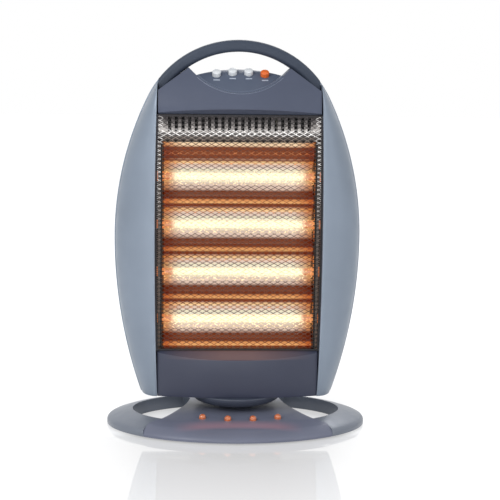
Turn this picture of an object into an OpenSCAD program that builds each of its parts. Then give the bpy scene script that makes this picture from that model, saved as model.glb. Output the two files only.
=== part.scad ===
// Oscillating halogen heater: an oval head with four quartz tubes on an elliptical base.
// +Z is up and the front faces -Y. The origin is the bottom centre of the base, on the swivel axis.

/* [Head outline] */
// Width of the head at its widest
head_w = 347; // [341:1:351]
// How far the widest point lies below the middle of the guard
widest_drop = 10; // [0:1:18]
// Radius of the arc over the top
top_r = 142; // [139:1:146]
// Radius of the side arcs below the widest point
low_side_r = 670; // [620:1:720]
// Height of the underside of the head
head_bottom_z = 48; // [47:1:52]
// Half width of the dark centre panels at their ends
seam_x = 112.5; // [110:0.5:114]
// How far the seams bow outwards at mid height
seam_bow = 4; // [2:0.5:6]
// Distance from the swivel axis to the front edge of the side panels
front_y = 50; // [47:1:53]
// How far that edge bows forwards at mid height
front_bow = 6; // [2:0.5:8]
// Distance from the swivel axis to the parting line of front and rear
part_y = 6; // [4:1:8]
// Distance from the swivel axis to the flat back
back_y = 60; // [58:1:66]
// Wall of the plastic covers
wall = 2.5; // [2:0.25:3]
// How far the rear cover's rim stands outside the side panels
rim_lip = 1.6; // [1:0.1:2.5]

/* [Handle and controls] */
// Radial thickness of the carrying handle
handle_t = 16.6; // [14:0.2:18]
// Depth of the handle from front to back
handle_depth = 34; // [30:1:38]
// Corner radius of the handle's section
handle_round = 6; // [3:0.5:7.5]
// Height of the top of the handle above the body's top edge
grip_rise = 41; // [38:1:46]
// How far the crest falls to its two notches
crest_fall = 8; // [6:0.5:10]
// Half width of the recessed control panel
eye_half_w = 59.7; // [57:0.5:60]
// Height of the control panel from its lowest point to the body's top edge
eye_h = 31; // [28:1:33]
// Height of that point above the top panel's lower crease
eye_rise = 22; // [18:1:25]
// Slope of the control panel from the horizontal
eye_slope = 34; // [32:1:36]
// Distance from the swivel axis to the panel's low edge
eye_low_y = 54; // [52:1:56]
// Diameter of a button
button_d = 12; // [10:0.5:13]
// Height of a button above the control panel
button_h = 7; // [5:0.5:9]
// Spacing of the buttons
button_pitch = 22.3; // [20:0.1:23]
// Travel of a button
button_travel = 3; // [2:0.5:4]

/* [Centre panels] */
// Distance from the swivel axis to the foremost line of the top panel
top_nose_y = 64; // [62:1:67]
// Height of the slope between the guard and the top panel's lower crease
top_ledge_h = 8; // [6:1:10]
// How far the centre panels fall back from middle to side
crown = 14; // [10:1:15]
// How far the top panel leans back at the crest
top_lean = 26; // [22:1:28]
// Distance from the swivel axis to the foremost line of the lower panel
low_nose_y = 62; // [60:1:65]
// Height of the lower panel up to its upper crease
low_panel_h = 55; // [52:1:58]
// Height of the slope between that crease and the guard
low_ledge_h = 11; // [9:1:13]
// How far the front tucks back at the underside
low_tuck = 7; // [4:0.5:9]

/* [Heating elements] */
// Number of tubes
tube_n = 4; // [3:1:4]
// Distance from the lowest tube down to the bottom of the reflector box
tube_foot = 40; // [38:1:44]
// Distance from the highest tube up to the top of the box
tube_head = 49; // [45:1:52]
// Spacing of the tubes
tube_pitch = 67; // [65:0.5:68]
// Diameter of a quartz tube
tube_d = 10; // [9:0.5:11]
// Bore of a quartz tube
tube_bore = 8; // [7:0.5:8.5]
// Length of a quartz tube between its ceramic caps
tube_len = 206; // [200:1:208]
// Diameter and length of a ceramic cap
cap_d = 13; // [12:0.5:14]
cap_len = 14; // [12:0.5:15]
// Distance from the swivel axis forward to the tube centres
tube_y = 24; // [22:0.5:26]
// Half width of the reflector box
box_half_w = 106; // [105.5:0.1:106.5]
// Height of the box above the bottom of the guarded opening
box_rise = 2; // [1:0.5:4]
// Thickness of the reflector and plate steel
sheet_t = 0.8; // [0.6:0.1:1]
// Distance from the swivel axis to the lips and to the bed of a reflector trough
trough_lip_y = 36; // [35:0.5:37]
trough_bed_y = 6; // [4:0.5:8]
// Half width of a trough's mouth
trough_half = 26; // [24:0.5:28]
// Distance behind the swivel axis of the heat shield
shield_y = 12; // [10:0.5:14]

/* [Slotted plate and guard] */
// Number, pitch and width of the slots
slot_n = 22; // [16:1:22]
slot_pitch = 9.17; // [8.5:0.01:9.3]
slot_w = 4.6; // [3.5:0.1:5]
// Height of the slots, their height above the box, and the edge above them
slot_h = 19.5; // [16:0.5:21]
slot_rise = 14.5; // [12:0.5:17]
slot_over = 4; // [3:0.5:6]
// Distance from the swivel axis to the guard's front
guard_y = 46; // [45:0.5:46.5]
// Thickness of the guard
guard_t = 1.4; // [1.2:0.1:1.6]
// Width of the guard's edge
guard_edge = 2.5; // [2:0.25:3]
// Gaps of the guard across and up
guard_nx = 8; // [6:1:9]
guard_nz = 16; // [12:1:17]
// Width of a strand of the guard
strand_w = 1.8; // [1.4:0.1:2.2]

/* [Base] */
// Width and depth of the base
base_w = 369; // [365:1:373]
base_d = 254; // [250:1:258]
// Half width and half depth of the space inside the ring
ring_in_x = 148; // [145:1:151]
ring_in_y = 91; // [87:1:94]
// Height of the rubber feet under the base
foot_h = 2; // [1.5:0.25:3]
// Height of the ring's outer edge and inner edge above the floor
rim_z = 10; // [9:0.5:11]
ring_z = 21; // [19:0.5:22]
// Thickness of the bottom plate
plate_t = 2; // [1.5:0.25:2.5]
// Height of the bridge above the floor in its middle
bridge_z = 27; // [26:0.5:28]
// Half width of the bridge at its waist
waist = 65; // [63:1:68]
// Distance of the waist behind the swivel axis
waist_y = 50; // [45:1:55]
// Radius of the bridge's front flare
flare_r = 180; // [170:1:190]
// Diameter of an indicator lens
lens_d = 9.5; // [8:0.5:11]
// Spacing of the indicator lenses
lens_pitch = 35; // [32:0.5:37]

/* [Swivel] */
// Outer and inner radius of the neck
neck_r = 13; // [12:0.5:14]
neck_bore = 8; // [6:0.5:9]
// Radial clearance of the neck in its bearing
neck_gap = 0.06; // [0.03:0.01:0.1]
// Distance of the crank's axis behind the swivel axis
crank_y = 24; // [22:0.5:25]
// Radius of the crank pin's circle
crank_r = 12; // [11:0.5:12.5]
// Radius of the crank pin
pin_r = 3; // [2.5:0.25:3.5]
// Clearance of the pin in the yoke's slot
pin_gap = 0.9; // [0.8:0.05:1.2]
// Diameter and height of the motor
motor_d = 48; // [46:0.5:50]
motor_h = 17; // [15:0.5:19]

/* [Fits] */
// Clearance between pieces that seat on each other
seat = 0.2; // [0.1:0.05:0.3]
// Clearance round a sliding button
slide_gap = 0.3; // [0.2:0.05:0.4]
// Radius of the cord outlet's bore
cord_r = 3.6; // [3.3:0.1:4]

/* [Hidden] */

$fn = 64;
eps = 0.01;

// Heights, from the underside of the head upwards
low_crease_z = head_bottom_z + low_panel_h;
guard_low_z = low_crease_z + low_ledge_h;
box_low_z = guard_low_z + box_rise;
tube_low_z = box_low_z + tube_foot;
box_top_z = tube_low_z + (tube_n - 1) * tube_pitch + tube_head;
slot_low_z = box_top_z + slot_rise;
slot_top_z = slot_low_z + slot_h;
guard_top_z = slot_top_z + slot_over;
top_crease_z = guard_top_z + top_ledge_h;
eye_low_z = top_crease_z + eye_rise;
crest_z = eye_low_z + eye_h;
handle_top_z = crest_z + grip_rise;
mid_z = (guard_low_z + guard_top_z) / 2;
widest_z = mid_z - widest_drop;

// Outline
head_half = head_w / 2;
crown_z = handle_top_z - top_r;
drop = crown_z - widest_z;
// The side arc has the one radius that is tangent to the top arc and upright at the widest point.
side_r = (head_half * head_half + drop * drop - top_r * top_r) / (2 * (head_half - top_r));
join_a = atan2(drop, side_r - head_half);
join_z = widest_z + side_r * sin(join_a);
low_a = asin((widest_z - head_bottom_z) / low_side_r);
seam_a = acos(seam_x / top_r);
grip_r = top_r - handle_t;
// How far the top panel's shoulders end below the corner of the handle's band
shoulder_drop = 14;
// How far round the crown the band's front runs on below the seams' corners, in degrees
tongue_a = 10;
notch_z = crest_z - crest_fall;
// The handle's opening ends where a line that rises outwards from the notch meets the grip's arc.
tip_a = acos((eye_half_w + 11) / grip_r);
crest_r = (eye_half_w * eye_half_w + crest_fall * crest_fall) / (2 * crest_fall);
crest_a = asin(eye_half_w / crest_r);
eye_depth = notch_z - eye_low_z;
eye_r = (eye_half_w * eye_half_w + eye_depth * eye_depth) / (2 * eye_depth);
eye_a = asin(eye_half_w / eye_r);
bow_span = mid_z - head_bottom_z + 1;
tip_z = crown_z + sqrt(top_r * top_r - (seam_x + 4) * (seam_x + 4));

// Base: each level's inset from the edge, that inset's share front to back, and its height.
ring_rise = [[0, 1, foot_h], [0, 1, rim_z - 3], [2, 1, rim_z],
    [base_w / 2 - ring_in_x, (base_d / 2 - ring_in_y) / (base_w / 2 - ring_in_x), ring_z]];
cover_rise = [[0, 1, foot_h], [0, 1, foot_h + 3], [3, 1, rim_z - 1], [12, 1.3, rim_z + 6],
    [34, 1, ring_z + 1], [64, 0.72, bridge_z - 4], [112, 0.66, bridge_z - 1], [134, 0.68, bridge_z]];
cover_t = 2;
flare_a = 39;
// Where the bridge's sides meet the ring in front, and how far it reaches outwards there
flare_foot_x = waist + flare_r * (1 - cos(flare_a)) + 19;
flare_end_y = base_d / 2 - 40;
flare_knee_y = base_d / 2 - 54;
// Radius of the fillets from the waist back to the ring
back_r = 46;
foot_r = 8;
foot_in = 19;
lens_x = 3.5;
lens_rise = 5.5;
lens_front = 46;
lens_bow = 4.5;
lens_sink = 3.1;
lens_tilt = 7;
screw_x = 24;
screw_y = 15;
screw_r = 1.6;
screw_head_r = 3.2;
screw_hole_r = 1.8;

// Tip-over switch
plunger_y = 66;
plunger_r = 5;
plunger_travel = 4;
flange_t = 2;
tip_box_w = 28;
tip_box_h = 10;

// Swivel and drive
post_r = 24;
neck_foot_z = foot_h + plate_t;
neck_foot_t = 4;
deck_z = head_bottom_z + 8;
deck_t = 2;
deck_half_w = 75;
deck_front = 44;
deck_back = 19;
washer_t = 1;
spigot_r = neck_r - 2.5;
belly_r = 66;
belly_h = 15.5;
mouth_r = 40;
boss_r = 5;
boss_x = 56;
boss_front = 34;
boss_back = 9;
deck_screw = 6;
yoke_z = deck_z + 10;
yoke_t = 3;
nut_t = 4;
crank_disc_z = yoke_z + yoke_t + 6;
crank_disc_t = 3;
bracket_z = crank_disc_z + crank_disc_t + 2;
bracket_t = 1.5;
bracket_leg_x = 33;
shaft_r = 3.5;
shaft_in = 8;

// Controls
panel_t = 3;
button_x = 1.5;
button_y = 45.5;
button_drop = 3.6;
button_edge = 1.5;
switch_w = 94;
switch_h = 30;

// Rear cover
rear_square = 0.6;
back_share = 0.8;
vent_rows = 7;
vent_pitch = 9;
vent_w = 52;
vent_h = 3.5;
vent_x = 60;
vent_low_z = box_low_z + 34;
vent_high_z = box_top_z - 51;
post_x = 85;
post_in_z = 30;

// Wiring
loom_d = 5;
loom_x = 57;
block_size = [26, 16, 14];
block_x = 44;
block_y = -14;
cutout_x = 30;
cutout_r = 9;
cutout_t = 7;

// Plane figures

function arc(cx, cy, r, a0, a1, n) = [
    for (i = [0 : n]) let (a = a0 + (a1 - a0) * i / n) [cx + r * cos(a), cy + r * sin(a)]
];

// A right-hand half from bottom to top, closed by its mirror image.
function both(half) = concat(half, [
    for (i = [len(half) - 1 : -1 : 0]) if (half[i][0] > eps) [-half[i][0], half[i][1]]
]);

function side_x(z) =
    z < widest_z ? head_half - low_side_r + sqrt(pow(low_side_r, 2) - pow(z - widest_z, 2))
    : z < join_z ? head_half - side_r + sqrt(pow(side_r, 2) - pow(z - widest_z, 2))
    : sqrt(pow(top_r, 2) - pow(z - crown_z, 2));

function bow(z) = 1 - pow((z - mid_z) / bow_span, 2);
function seam(z) = seam_x + seam_bow * bow(z);
function edge_y(z) = front_y + front_bow * max(bow(z), 0) - lean(z) - tuck(z);

// How far the front falls back towards the crest and towards the underside.
function lean(z) = z < top_crease_z ? 0
    : top_lean * pow((z - top_crease_z) / (crest_z - top_crease_z), 1.6);
function tuck(z) = z > low_crease_z ? 0
    : low_tuck * pow((low_crease_z - z) / (low_crease_z - head_bottom_z), 2);

function side_arcs() = concat(
    arc(head_half - low_side_r, widest_z, low_side_r, -low_a, 0, 9),
    arc(head_half - side_r, widest_z, side_r, join_a / 7, join_a, 6));

function crest(gap = 0) = arc(0, crest_z - crest_r, crest_r - gap, 90 - crest_a, 90, 6);

function rear_outline() = both(concat(
    side_arcs(),
    arc(0, crown_z, top_r, join_a + 3, seam_a, 4),
    arc(0, crown_z, grip_r - seat, seam_a, tip_a, 5),
    crest()));

function eye_outline(gap = 0) = both(concat(
    arc(0, eye_low_z + eye_r, eye_r + gap, -90, eye_a - 90, 8),
    [[eye_half_w + gap, notch_z]],
    crest()));

// The top panel's outline, down to the line where its underside meets the guard.
function top_outline(gap = 0) = both(concat(
    [[seam_x - seat - gap, guard_top_z]],
    [[seam_x - seat - gap, crown_z + top_r * sin(seam_a) - shoulder_drop - gap]],
    [[(grip_r - seat) * cos(tip_a) - gap, crown_z + (grip_r - seat) * sin(tip_a) - gap]],
    crest(gap)));

function ellipse_ring(a, b, z, n = 60) = [
    for (i = [0 : n - 1]) [a * cos(360 * i / n), b * sin(360 * i / n), z]
];

function mean(ring) = [for (k = [0 : 2]) [for (p = ring) p[k]] * [for (p = ring) 1] / len(ring)];

// Solids

// A closed skin over rings of points, which run anticlockwise seen from the last ring.
module loft(rings) {
    n = len(rings[0]);
    m = len(rings);
    points = concat([for (ring = rings) each ring], [mean(rings[0]), mean(rings[m - 1])]);
    sides = [for (k = [0 : m - 2], i = [0 : n - 1]) let (j = (i + 1) % n)
        each [[k * n + i, (k + 1) * n + i, (k + 1) * n + j], [k * n + i, (k + 1) * n + j, k * n + j]]];
    first = [for (i = [0 : n - 1]) [m * n, i, (i + 1) % n]];
    last = [for (i = [0 : n - 1]) [m * n + 1, (m - 1) * n + (i + 1) % n, (m - 1) * n + i]];
    polyhedron(points, concat(sides, first, last));
}

// Draws a figure of the front view between two distances from the swivel axis.
module front(y0, y1) {
    translate([0, y1, 0]) rotate([90, 0, 0]) linear_extrude(height = y1 - y0) children();
}

module tube(r, bore, h) {
    difference() {
        cylinder(r = r, h = h);
        translate([0, 0, -1]) cylinder(r = bore, h = h + 2);
    }
}

// Places its children at both mirror images across the middle.
module pair(x, y, z) {
    for (side = [-1, 1]) translate([side * x, y, z]) children();
}

// The frame of the sloped control panel: z leaves its face and y climbs it.
module on_slope() {
    translate([0, -eye_low_y, eye_low_z]) rotate([eye_slope, 0, 0]) children();
}

// Base

module base_dome(rings) {
    loft([for (r = rings) ellipse_ring(base_w / 2 - r[0], base_d / 2 - r[0] * r[1], r[2])]);
}

// The bridge's side from its waist to its front flare.
function flare(gap) = [for (i = [8 : -1 : 0]) let (a = flare_a * i / 8)
    [waist + gap + flare_r * (1 - cos(a)), waist_y - flare_r * sin(a)]];

function cover_edge(gap) = concat(
    [[flare_foot_x + 7 + gap, -base_d], [flare_foot_x + 7 + gap, -flare_end_y],
        [flare_foot_x + gap, -flare_knee_y]],
    flare(gap),
    [[waist + gap, ring_in_y - 8]]);

module base_oval(in) {
    polygon([for (p = ellipse_ring(base_w / 2 - in, base_d / 2 - in, 0)) [p[0], p[1]]]);
}

module cover_plan(gap = 0) {
    polygon(both(cover_edge(gap)));
}

// The two spaces inside the ring, either side of the bridge.
module ring_spaces(grow = 0) {
    difference() {
        polygon([for (p = ellipse_ring(ring_in_x + grow, ring_in_y + grow, 0)) [p[0], p[1]]]);
        polygon(both(concat(
            [[flare_foot_x + 7 - grow, -base_d], [flare_foot_x - grow, -flare_knee_y]],
            flare(-grow),
            [for (i = [0 : 6]) let (a = 60 * i / 6)
                [waist - grow + back_r * (1 - cos(a)), waist_y + back_r * sin(a)]],
            [[waist + back_r, base_d]])));
    }
}

module through(h = 60) {
    translate([0, 0, -1]) linear_extrude(height = h) children();
}

// The cover's form drawn in by a distance, from a floor upwards.
module cover_core(in, floor_z) {
    base_dome(concat([[in, 1, floor_z]], [for (i = [1 : len(cover_rise) - 1]) let (r = cover_rise[i])
        [r[0] + in, r[1], r[2] - in]]));
}

module base_ring() color([0.56, 0.59, 0.62]) {
    difference() {
        union() {
            difference() {
                base_dome(ring_rise);
                through() cover_plan(seat);
            }
            intersection() {
                cover_core(cover_t + seat, foot_h);
                through() cover_plan(seat + eps);
            }
        }
        through() ring_spaces();
        // Hollow from below: a flat pocket for the bottom plate, and a vaulted one under the bridge.
        difference() {
            union() {
                translate([0, 0, -1]) linear_extrude(height = rim_z - wall + 1) base_oval(2 * wall);
                intersection() {
                    cover_core(cover_t + seat + wall, -wall);
                    through() cover_plan(-wall);
                }
            }
            through() ring_spaces(wall);
        }
        translate([0, 0, -1]) cylinder(r = post_r + seat, h = 60);
        lens_places() translate([0, 0, -30]) cylinder(r = lens_d / 2 - 1, h = 40);
    }
}

module bridge_cover() color([0.36, 0.38, 0.46]) {
    difference() {
        intersection() {
            base_dome(cover_rise);
            through() cover_plan();
        }
        cover_core(cover_t, foot_h - 1);
        translate([0, 0, -1]) cylinder(r = post_r + seat, h = 60);
        lens_places() translate([0, 0, -10]) cylinder(r = lens_d / 2 + seat, h = 20);
    }
}

// Four places in a shallow arc in front of the neck.
module lens_places() {
    for (i = [0 : 3]) let (k = i - 1.5)
        translate([lens_x + k * lens_pitch, lens_front - base_d / 2 + lens_bow * k * k, bridge_z - lens_sink])
            rotate([lens_tilt, 0, 0]) children();
}

module indicator_lenses() color([0.93, 0.45, 0.2]) {
    lens_places() {
        translate([0, 0, -2.4]) cylinder(r = lens_d / 2, h = 3.4);
        intersection() {
            translate([0, 0, lens_rise - lens_d * 0.52]) sphere(r = lens_d * 0.52);
            cylinder(r = lens_d / 2, h = lens_d);
        }
    }
}

module base_plate() color([0.12, 0.12, 0.13]) {
    translate([0, 0, foot_h]) difference() {
        linear_extrude(height = plate_t) difference() {
            base_oval(2 * wall + seat);
            ring_spaces(wall + seat);
        }
        translate([0, plunger_y, -1]) cylinder(r = plunger_r + slide_gap, h = plate_t + 2);
        screw_places(-1) cylinder(r = screw_hole_r, h = plate_t + 2);
        translate([0, 0, -1]) cylinder(r = neck_bore, h = plate_t + 2);
    }
}

// Where the screws go up through the bottom plate.
module screw_places(z) {
    for (x = [-1, 1], y = [-1, 1]) translate([x * screw_x, y * screw_y, z]) children();
}

module base_screws() color([0.7, 0.7, 0.72]) {
    screw_places(foot_h) {
        translate([0, 0, -1.2]) cylinder(r = screw_head_r, h = 1.2);
        cylinder(r = screw_r, h = plate_t + 6);
    }
}

module rubber_feet() color([0.1, 0.1, 0.1]) {
    for (a = [25, 90, 155, 205, 270, 335])
        translate([(base_w / 2 - foot_in) * cos(a), (base_d / 2 - foot_in) * sin(a), 0])
            cylinder(r = foot_r, h = foot_h);
}

module tip_plunger() color([0.85, 0.85, 0.83]) {
    translate([0, plunger_y, 0]) {
        cylinder(r = plunger_r, h = neck_foot_z + plunger_travel + seat);
        // The flange stops on the bottom plate at the end of the travel.
        translate([0, 0, neck_foot_z + plunger_travel + seat]) cylinder(r = plunger_r + 2, h = flange_t);
    }
}

module tip_switch() color([0.2, 0.2, 0.22]) {
    clear = plunger_r + 2 + slide_gap;
    translate([0, plunger_y, neck_foot_z]) difference() {
        translate([-tip_box_w / 2, -clear - 2, 0]) cube([tip_box_w, 2 * clear + 4, tip_box_h]);
        translate([0, 0, -1]) cylinder(r = clear, h = 1 + plunger_travel + flange_t + 2 * seat);
    }
}

// Swivel

module neck_post() color([0.3, 0.32, 0.37]) {
    difference() {
        union() {
            translate([0, 0, neck_foot_z]) cylinder(r = post_r + 10, h = neck_foot_t);
            translate([0, 0, neck_foot_z]) cylinder(r = post_r, h = deck_z - washer_t - neck_foot_z);
            translate([0, 0, neck_foot_z]) cylinder(r = neck_r, h = yoke_z - neck_foot_z);
            translate([0, 0, neck_foot_z]) cylinder(r = spigot_r, h = yoke_z + yoke_t + nut_t - neck_foot_z);
        }
        cylinder(r = neck_bore, h = head_bottom_z * 2);
        screw_places(neck_foot_z - 1) cylinder(r = screw_r, h = 7);
    }
}

module bearing_washer() color([0.9, 0.9, 0.86]) {
    translate([0, 0, deck_z - washer_t]) tube(post_r - 1, neck_r + neck_gap, washer_t);
}

module swivel_plate() color([0.72, 0.73, 0.75]) {
    translate([0, 0, deck_z]) difference() {
        translate([-deck_half_w, -deck_front, 0]) cube([2 * deck_half_w, deck_front + deck_back, deck_t]);
        translate([0, 0, -1]) cylinder(r = neck_r + neck_gap, h = deck_t + 2);
        for (x = [-boss_x, boss_x], y = [-boss_front, boss_back]) translate([x, y, -1])
            cylinder(r = 2, h = deck_t + 2);
    }
}

module yoke_arm() color([0.75, 0.76, 0.78]) {
    far = crank_y + crank_r + pin_r + pin_gap;
    near = sqrt(pow(crank_y, 2) + pow(crank_r, 2)) - pin_r - pin_gap - 1;
    slot_r = pin_r + pin_gap;
    translate([0, 0, yoke_z]) difference() {
        union() {
            cylinder(r = neck_r + 2, h = yoke_t);
            translate([-slot_r - 4, 0, 0]) cube([2 * slot_r + 8, far + 4, yoke_t]);
        }
        translate([0, 0, -1]) cylinder(r = spigot_r + neck_gap, h = yoke_t + 2);
        translate([-slot_r, near + slot_r, -1]) cube([2 * slot_r, far - near - 2 * slot_r, yoke_t + 2]);
        for (y = [near + slot_r, far - slot_r]) translate([0, y, -1]) cylinder(r = slot_r, h = yoke_t + 2);
    }
}

module yoke_nut() color([0.8, 0.8, 0.82]) {
    translate([0, 0, yoke_z + yoke_t]) difference() {
        cylinder(r = neck_r + 2, h = nut_t, $fn = 6);
        translate([0, 0, -1]) cylinder(r = spigot_r + neck_gap, h = nut_t + 2);
    }
}

module crank() color([0.82, 0.82, 0.78]) {
    translate([0, crank_y, crank_disc_z]) cylinder(r = crank_r + pin_r + 1.5, h = crank_disc_t);
    translate([0, crank_y + crank_r, yoke_z - 1.5]) cylinder(r = pin_r, h = crank_disc_z - yoke_z + 2);
    translate([0, crank_y, crank_disc_z])
        cylinder(r = shaft_r, h = bracket_z + bracket_t + shaft_in - 0.5 - crank_disc_z);
}

module motor() color([0.78, 0.79, 0.8]) {
    translate([0, crank_y, bracket_z + bracket_t]) difference() {
        cylinder(r = motor_d / 2, h = motor_h);
        translate([0, 0, -1]) cylinder(r = shaft_r + neck_gap, h = shaft_in + 1);
    }
}

module motor_bracket() color([0.7, 0.71, 0.73]) {
    difference() {
        translate([-bracket_leg_x - bracket_t, -2, bracket_z])
            cube([2 * (bracket_leg_x + bracket_t), crank_y + motor_d / 2 - 2, bracket_t]);
        translate([0, crank_y, bracket_z - 1]) cylinder(r = shaft_r + 2.5, h = bracket_t + 2);
    }
    for (side = [-1, 1]) {
        translate([side > 0 ? bracket_leg_x : -bracket_leg_x - bracket_t, -2, deck_z + deck_t])
            cube([bracket_t, deck_back, bracket_z - deck_z - deck_t + eps]);
    }
}

// A shallow round belly under the head.
module swivel_collar() color([0.24, 0.26, 0.34]) {
    points = concat(
        [[post_r + 2, head_bottom_z - seat], [post_r + 2, head_bottom_z - belly_h]],
        [for (i = [0 : 8]) let (a = 90 * i / 8) [
            mouth_r + (belly_r - mouth_r) * sin(a), head_bottom_z - seat - belly_h * cos(a)]]);
    rotate_extrude() polygon(points);
}

// Head covers

module side_panel() {
    low_z = head_bottom_z;
    high_z = tip_z;
    top_in_z = crown_z + sqrt(pow(top_r, 2) - pow(seam_x + 9, 2));
    difference() {
        loft([for (i = [0 : 20]) let (z = low_z + (high_z - low_z) * i / 20) panel_ring(z, 0)]);
        loft([for (i = [0 : 18]) let (z = low_z + wall + (top_in_z - low_z - wall) * i / 18)
            panel_ring(z, wall)]);
        // Room for the ends of the tubes behind the edge of the guard.
        translate([seam_x - 3, -trough_lip_y + 3, guard_low_z])
            cube([seam_bow + wall + 4, trough_lip_y, guard_top_z - guard_low_z]);
    }
}

function panel_ring(z, inset) = let (
    inner = seam(z) + inset,
    outer = side_x(z) - rim_lip - inset,
    deep = edge_y(z) - part_y - inset,
    back = inset > 0 ? 1 - part_y : -part_y
) concat(
    [for (i = [0 : 8]) let (a = 90 * i / 8) [
        inner + (outer - inner) * sin(a), -part_y - deep * cos(a), z]],
    [for (i = [0 : inset > 0 ? 0 : -1]) [outer, back, z]],
    [[inner, back, z]]);

module side_panel_right() color([0.55, 0.58, 0.64]) {
    side_panel();
}

module side_panel_left() color([0.58, 0.62, 0.68]) {
    mirror([1, 0, 0]) side_panel();
}

module handle() color([0.29, 0.32, 0.37]) {
    end_a = seam_a + 0.2;
    y0 = -handle_depth / 2 - 3;
    y1 = handle_depth / 2 - 3;
    r0 = grip_r;
    c = handle_round;
    x = seam_x - seat;
    low_a = seam_a - tongue_a;
    far = 2 * top_r;
    section = concat(
        arc(top_r - c, y0 + c, c, -90, 0, 6), arc(top_r - c, y1 - c, c, 0, 90, 6),
        arc(r0 + c, y1 - c, c, 90, 180, 6), arc(r0 + c, y0 + c, c, 180, 270, 6));
    // The band's front runs down to the side panels; its rear ends above the rear cover's shoulders.
    translate([0, 0, crown_z]) difference() {
        rotate([90, 0, 0]) rotate([0, 0, low_a])
            rotate_extrude(angle = 180 - 2 * low_a, $fn = 96) polygon([for (p = section) [p[0], -p[1]]]);
        for (side = [0, 1]) mirror([side, 0, 0]) {
            front(y0 - 1, y1 + 1) polygon([[x, 0], [far, 0], [far, far], [x, far]]);
            front(-part_y - seat, y1 + 1) polygon([[0, 0], [far, 0], [far * cos(end_a), far * sin(end_a)]]);
        }
    }
}

// One level of a crowned front: its foremost distance, its half width and its height.
function crowned_ring(y, half, z, back) = concat(
    [for (i = [-5 : 5]) let (u = i / 5) [u * half, -y + crown * pow(u * half / seam_x, 2), z]],
    [[half, -back, z], [-half, -back, z]]);

module top_block(inset) {
    low_z = guard_top_z - 2;
    high_z = crown_z + grip_r * sin(tip_a) + 3;
    half = seam_x + 2;
    loft([for (i = [0 : 10]) let (z = low_z + (high_z - low_z) * i / 10)
        crowned_ring(top_nose_y - lean(z) - inset, half, z, inset > 0 ? part_y - 1 : part_y)]);
}

// The slope that leads back from a crease to the guard, as a cutter.
module ledge(crease_z, crease_y, guard_z, up) {
    rise = crease_z - guard_z;
    run = crease_y - guard_y + 2;
    far = 30;
    rotate([90, 0, 90]) translate([0, 0, -head_half]) linear_extrude(height = head_w) polygon([
        [-crease_y - far, crease_z + rise / run * far],
        [-guard_y + 2, guard_z],
        [-guard_y + 2 + far * 2, guard_z],
        [-guard_y + 2 + far * 2, guard_z + up * 2 * far],
        [-crease_y - far, guard_z + up * 2 * far]]);
}

module top_panel() color([0.36, 0.4, 0.47]) {
    difference() {
        intersection() {
            top_block(0);
            front(-top_nose_y - 10, 0) polygon(top_outline());
        }
        difference() {
            intersection() {
                top_block(wall);
                front(-top_nose_y - 10, 1) polygon(top_outline(wall));
            }
            translate([0, 0, wall]) ledge(top_crease_z, top_nose_y, guard_top_z, -1);
        }
        ledge(top_crease_z, top_nose_y, guard_top_z, -1);
        front(-top_nose_y - 10, 1) polygon(eye_outline(seat));
        // The handle's band lies behind the shoulders.
        translate([0, -handle_depth / 2 - 3 - seat, crown_z]) rotate([-90, 0, 0]) difference() {
            cylinder(r = top_r + 2, h = handle_depth);
            translate([0, 0, -1]) cylinder(r = grip_r - seat, h = handle_depth + 2);
        }
    }
}

module control_panel() color([0.33, 0.36, 0.43]) {
    difference() {
        intersection() {
            front(-eye_low_y - 10, -part_y) polygon(eye_outline());
            on_slope() translate([-eye_half_w - 1, -20, -panel_t]) cube([2 * eye_half_w + 2, 120, panel_t]);
        }
        for (i = [1 : 4]) button_place(i) translate([0, 0, -20])
            cylinder(r = button_d / 2 + slide_gap, h = 40);
    }
}

module button_place(i) {
    k = i - 2.5;
    on_slope() translate([button_x + k * button_pitch, button_y - (abs(k) - 0.5) * button_drop, 0]) children();
}

module button(i) {
    button_place(i) {
        translate([0, 0, -button_travel - panel_t])
            cylinder(r = button_d / 2, h = button_h + button_travel + panel_t - button_edge);
        translate([0, 0, button_h - button_edge])
            cylinder(r1 = button_d / 2, r2 = button_d / 2 - button_edge, h = button_edge);
    }
}

module switch_block() color([0.85, 0.85, 0.83]) {
    clear = button_d / 2 + slide_gap;
    depth = 2 * button_travel + panel_t + seat;
    difference() {
        on_slope() translate([button_x - switch_w / 2, button_y - button_drop - 9, -panel_t - seat - switch_h])
            cube([switch_w, 18, switch_h]);
        for (i = [1 : 4]) button_place(i) translate([0, 0, -depth]) cylinder(r = clear, h = 40);
        translate([-head_half, -part_y - seat, crest_z - back_y]) cube([head_w, back_y, 2 * back_y]);
    }
}

module lower_block(inset) {
    low = head_bottom_z + inset;
    high = guard_low_z + 2 - inset;
    loft([for (i = [0 : 6]) let (z = low + (high - low) * i / 6)
        crowned_ring(low_nose_y - tuck(z) - inset, seam_x - seat - inset, z,
            inset > 0 ? part_y - 1 : part_y)]);
}

module lower_panel() color([0.27, 0.29, 0.36]) {
    difference() {
        union() {
            difference() {
                lower_block(0);
                difference() {
                    lower_block(wall);
                    translate([0, 0, -wall]) ledge(low_crease_z, low_nose_y, guard_low_z, 1);
                }
            }
            pair(boss_x, -boss_front, head_bottom_z + eps)
                cylinder(r = boss_r, h = deck_z - head_bottom_z - eps);
        }
        ledge(low_crease_z, low_nose_y, guard_low_z, 1);
        pair(boss_x, -boss_front, deck_z - deck_screw) cylinder(r = 1.6, h = 20);
        translate([0, 0, head_bottom_z - 1]) cylinder(r = post_r + 2, h = 12);
    }
}

function rear_ring(a, inset) = let (
    s = (back_share + (1 - back_share) * pow(cos(a), rear_square)) * (1 - inset / head_half),
    y = -part_y + (back_y + part_y - inset) * sin(a)
) [for (p = rear_outline()) [p[0] * s, y, widest_z + (p[1] - widest_z) * s]];

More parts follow.
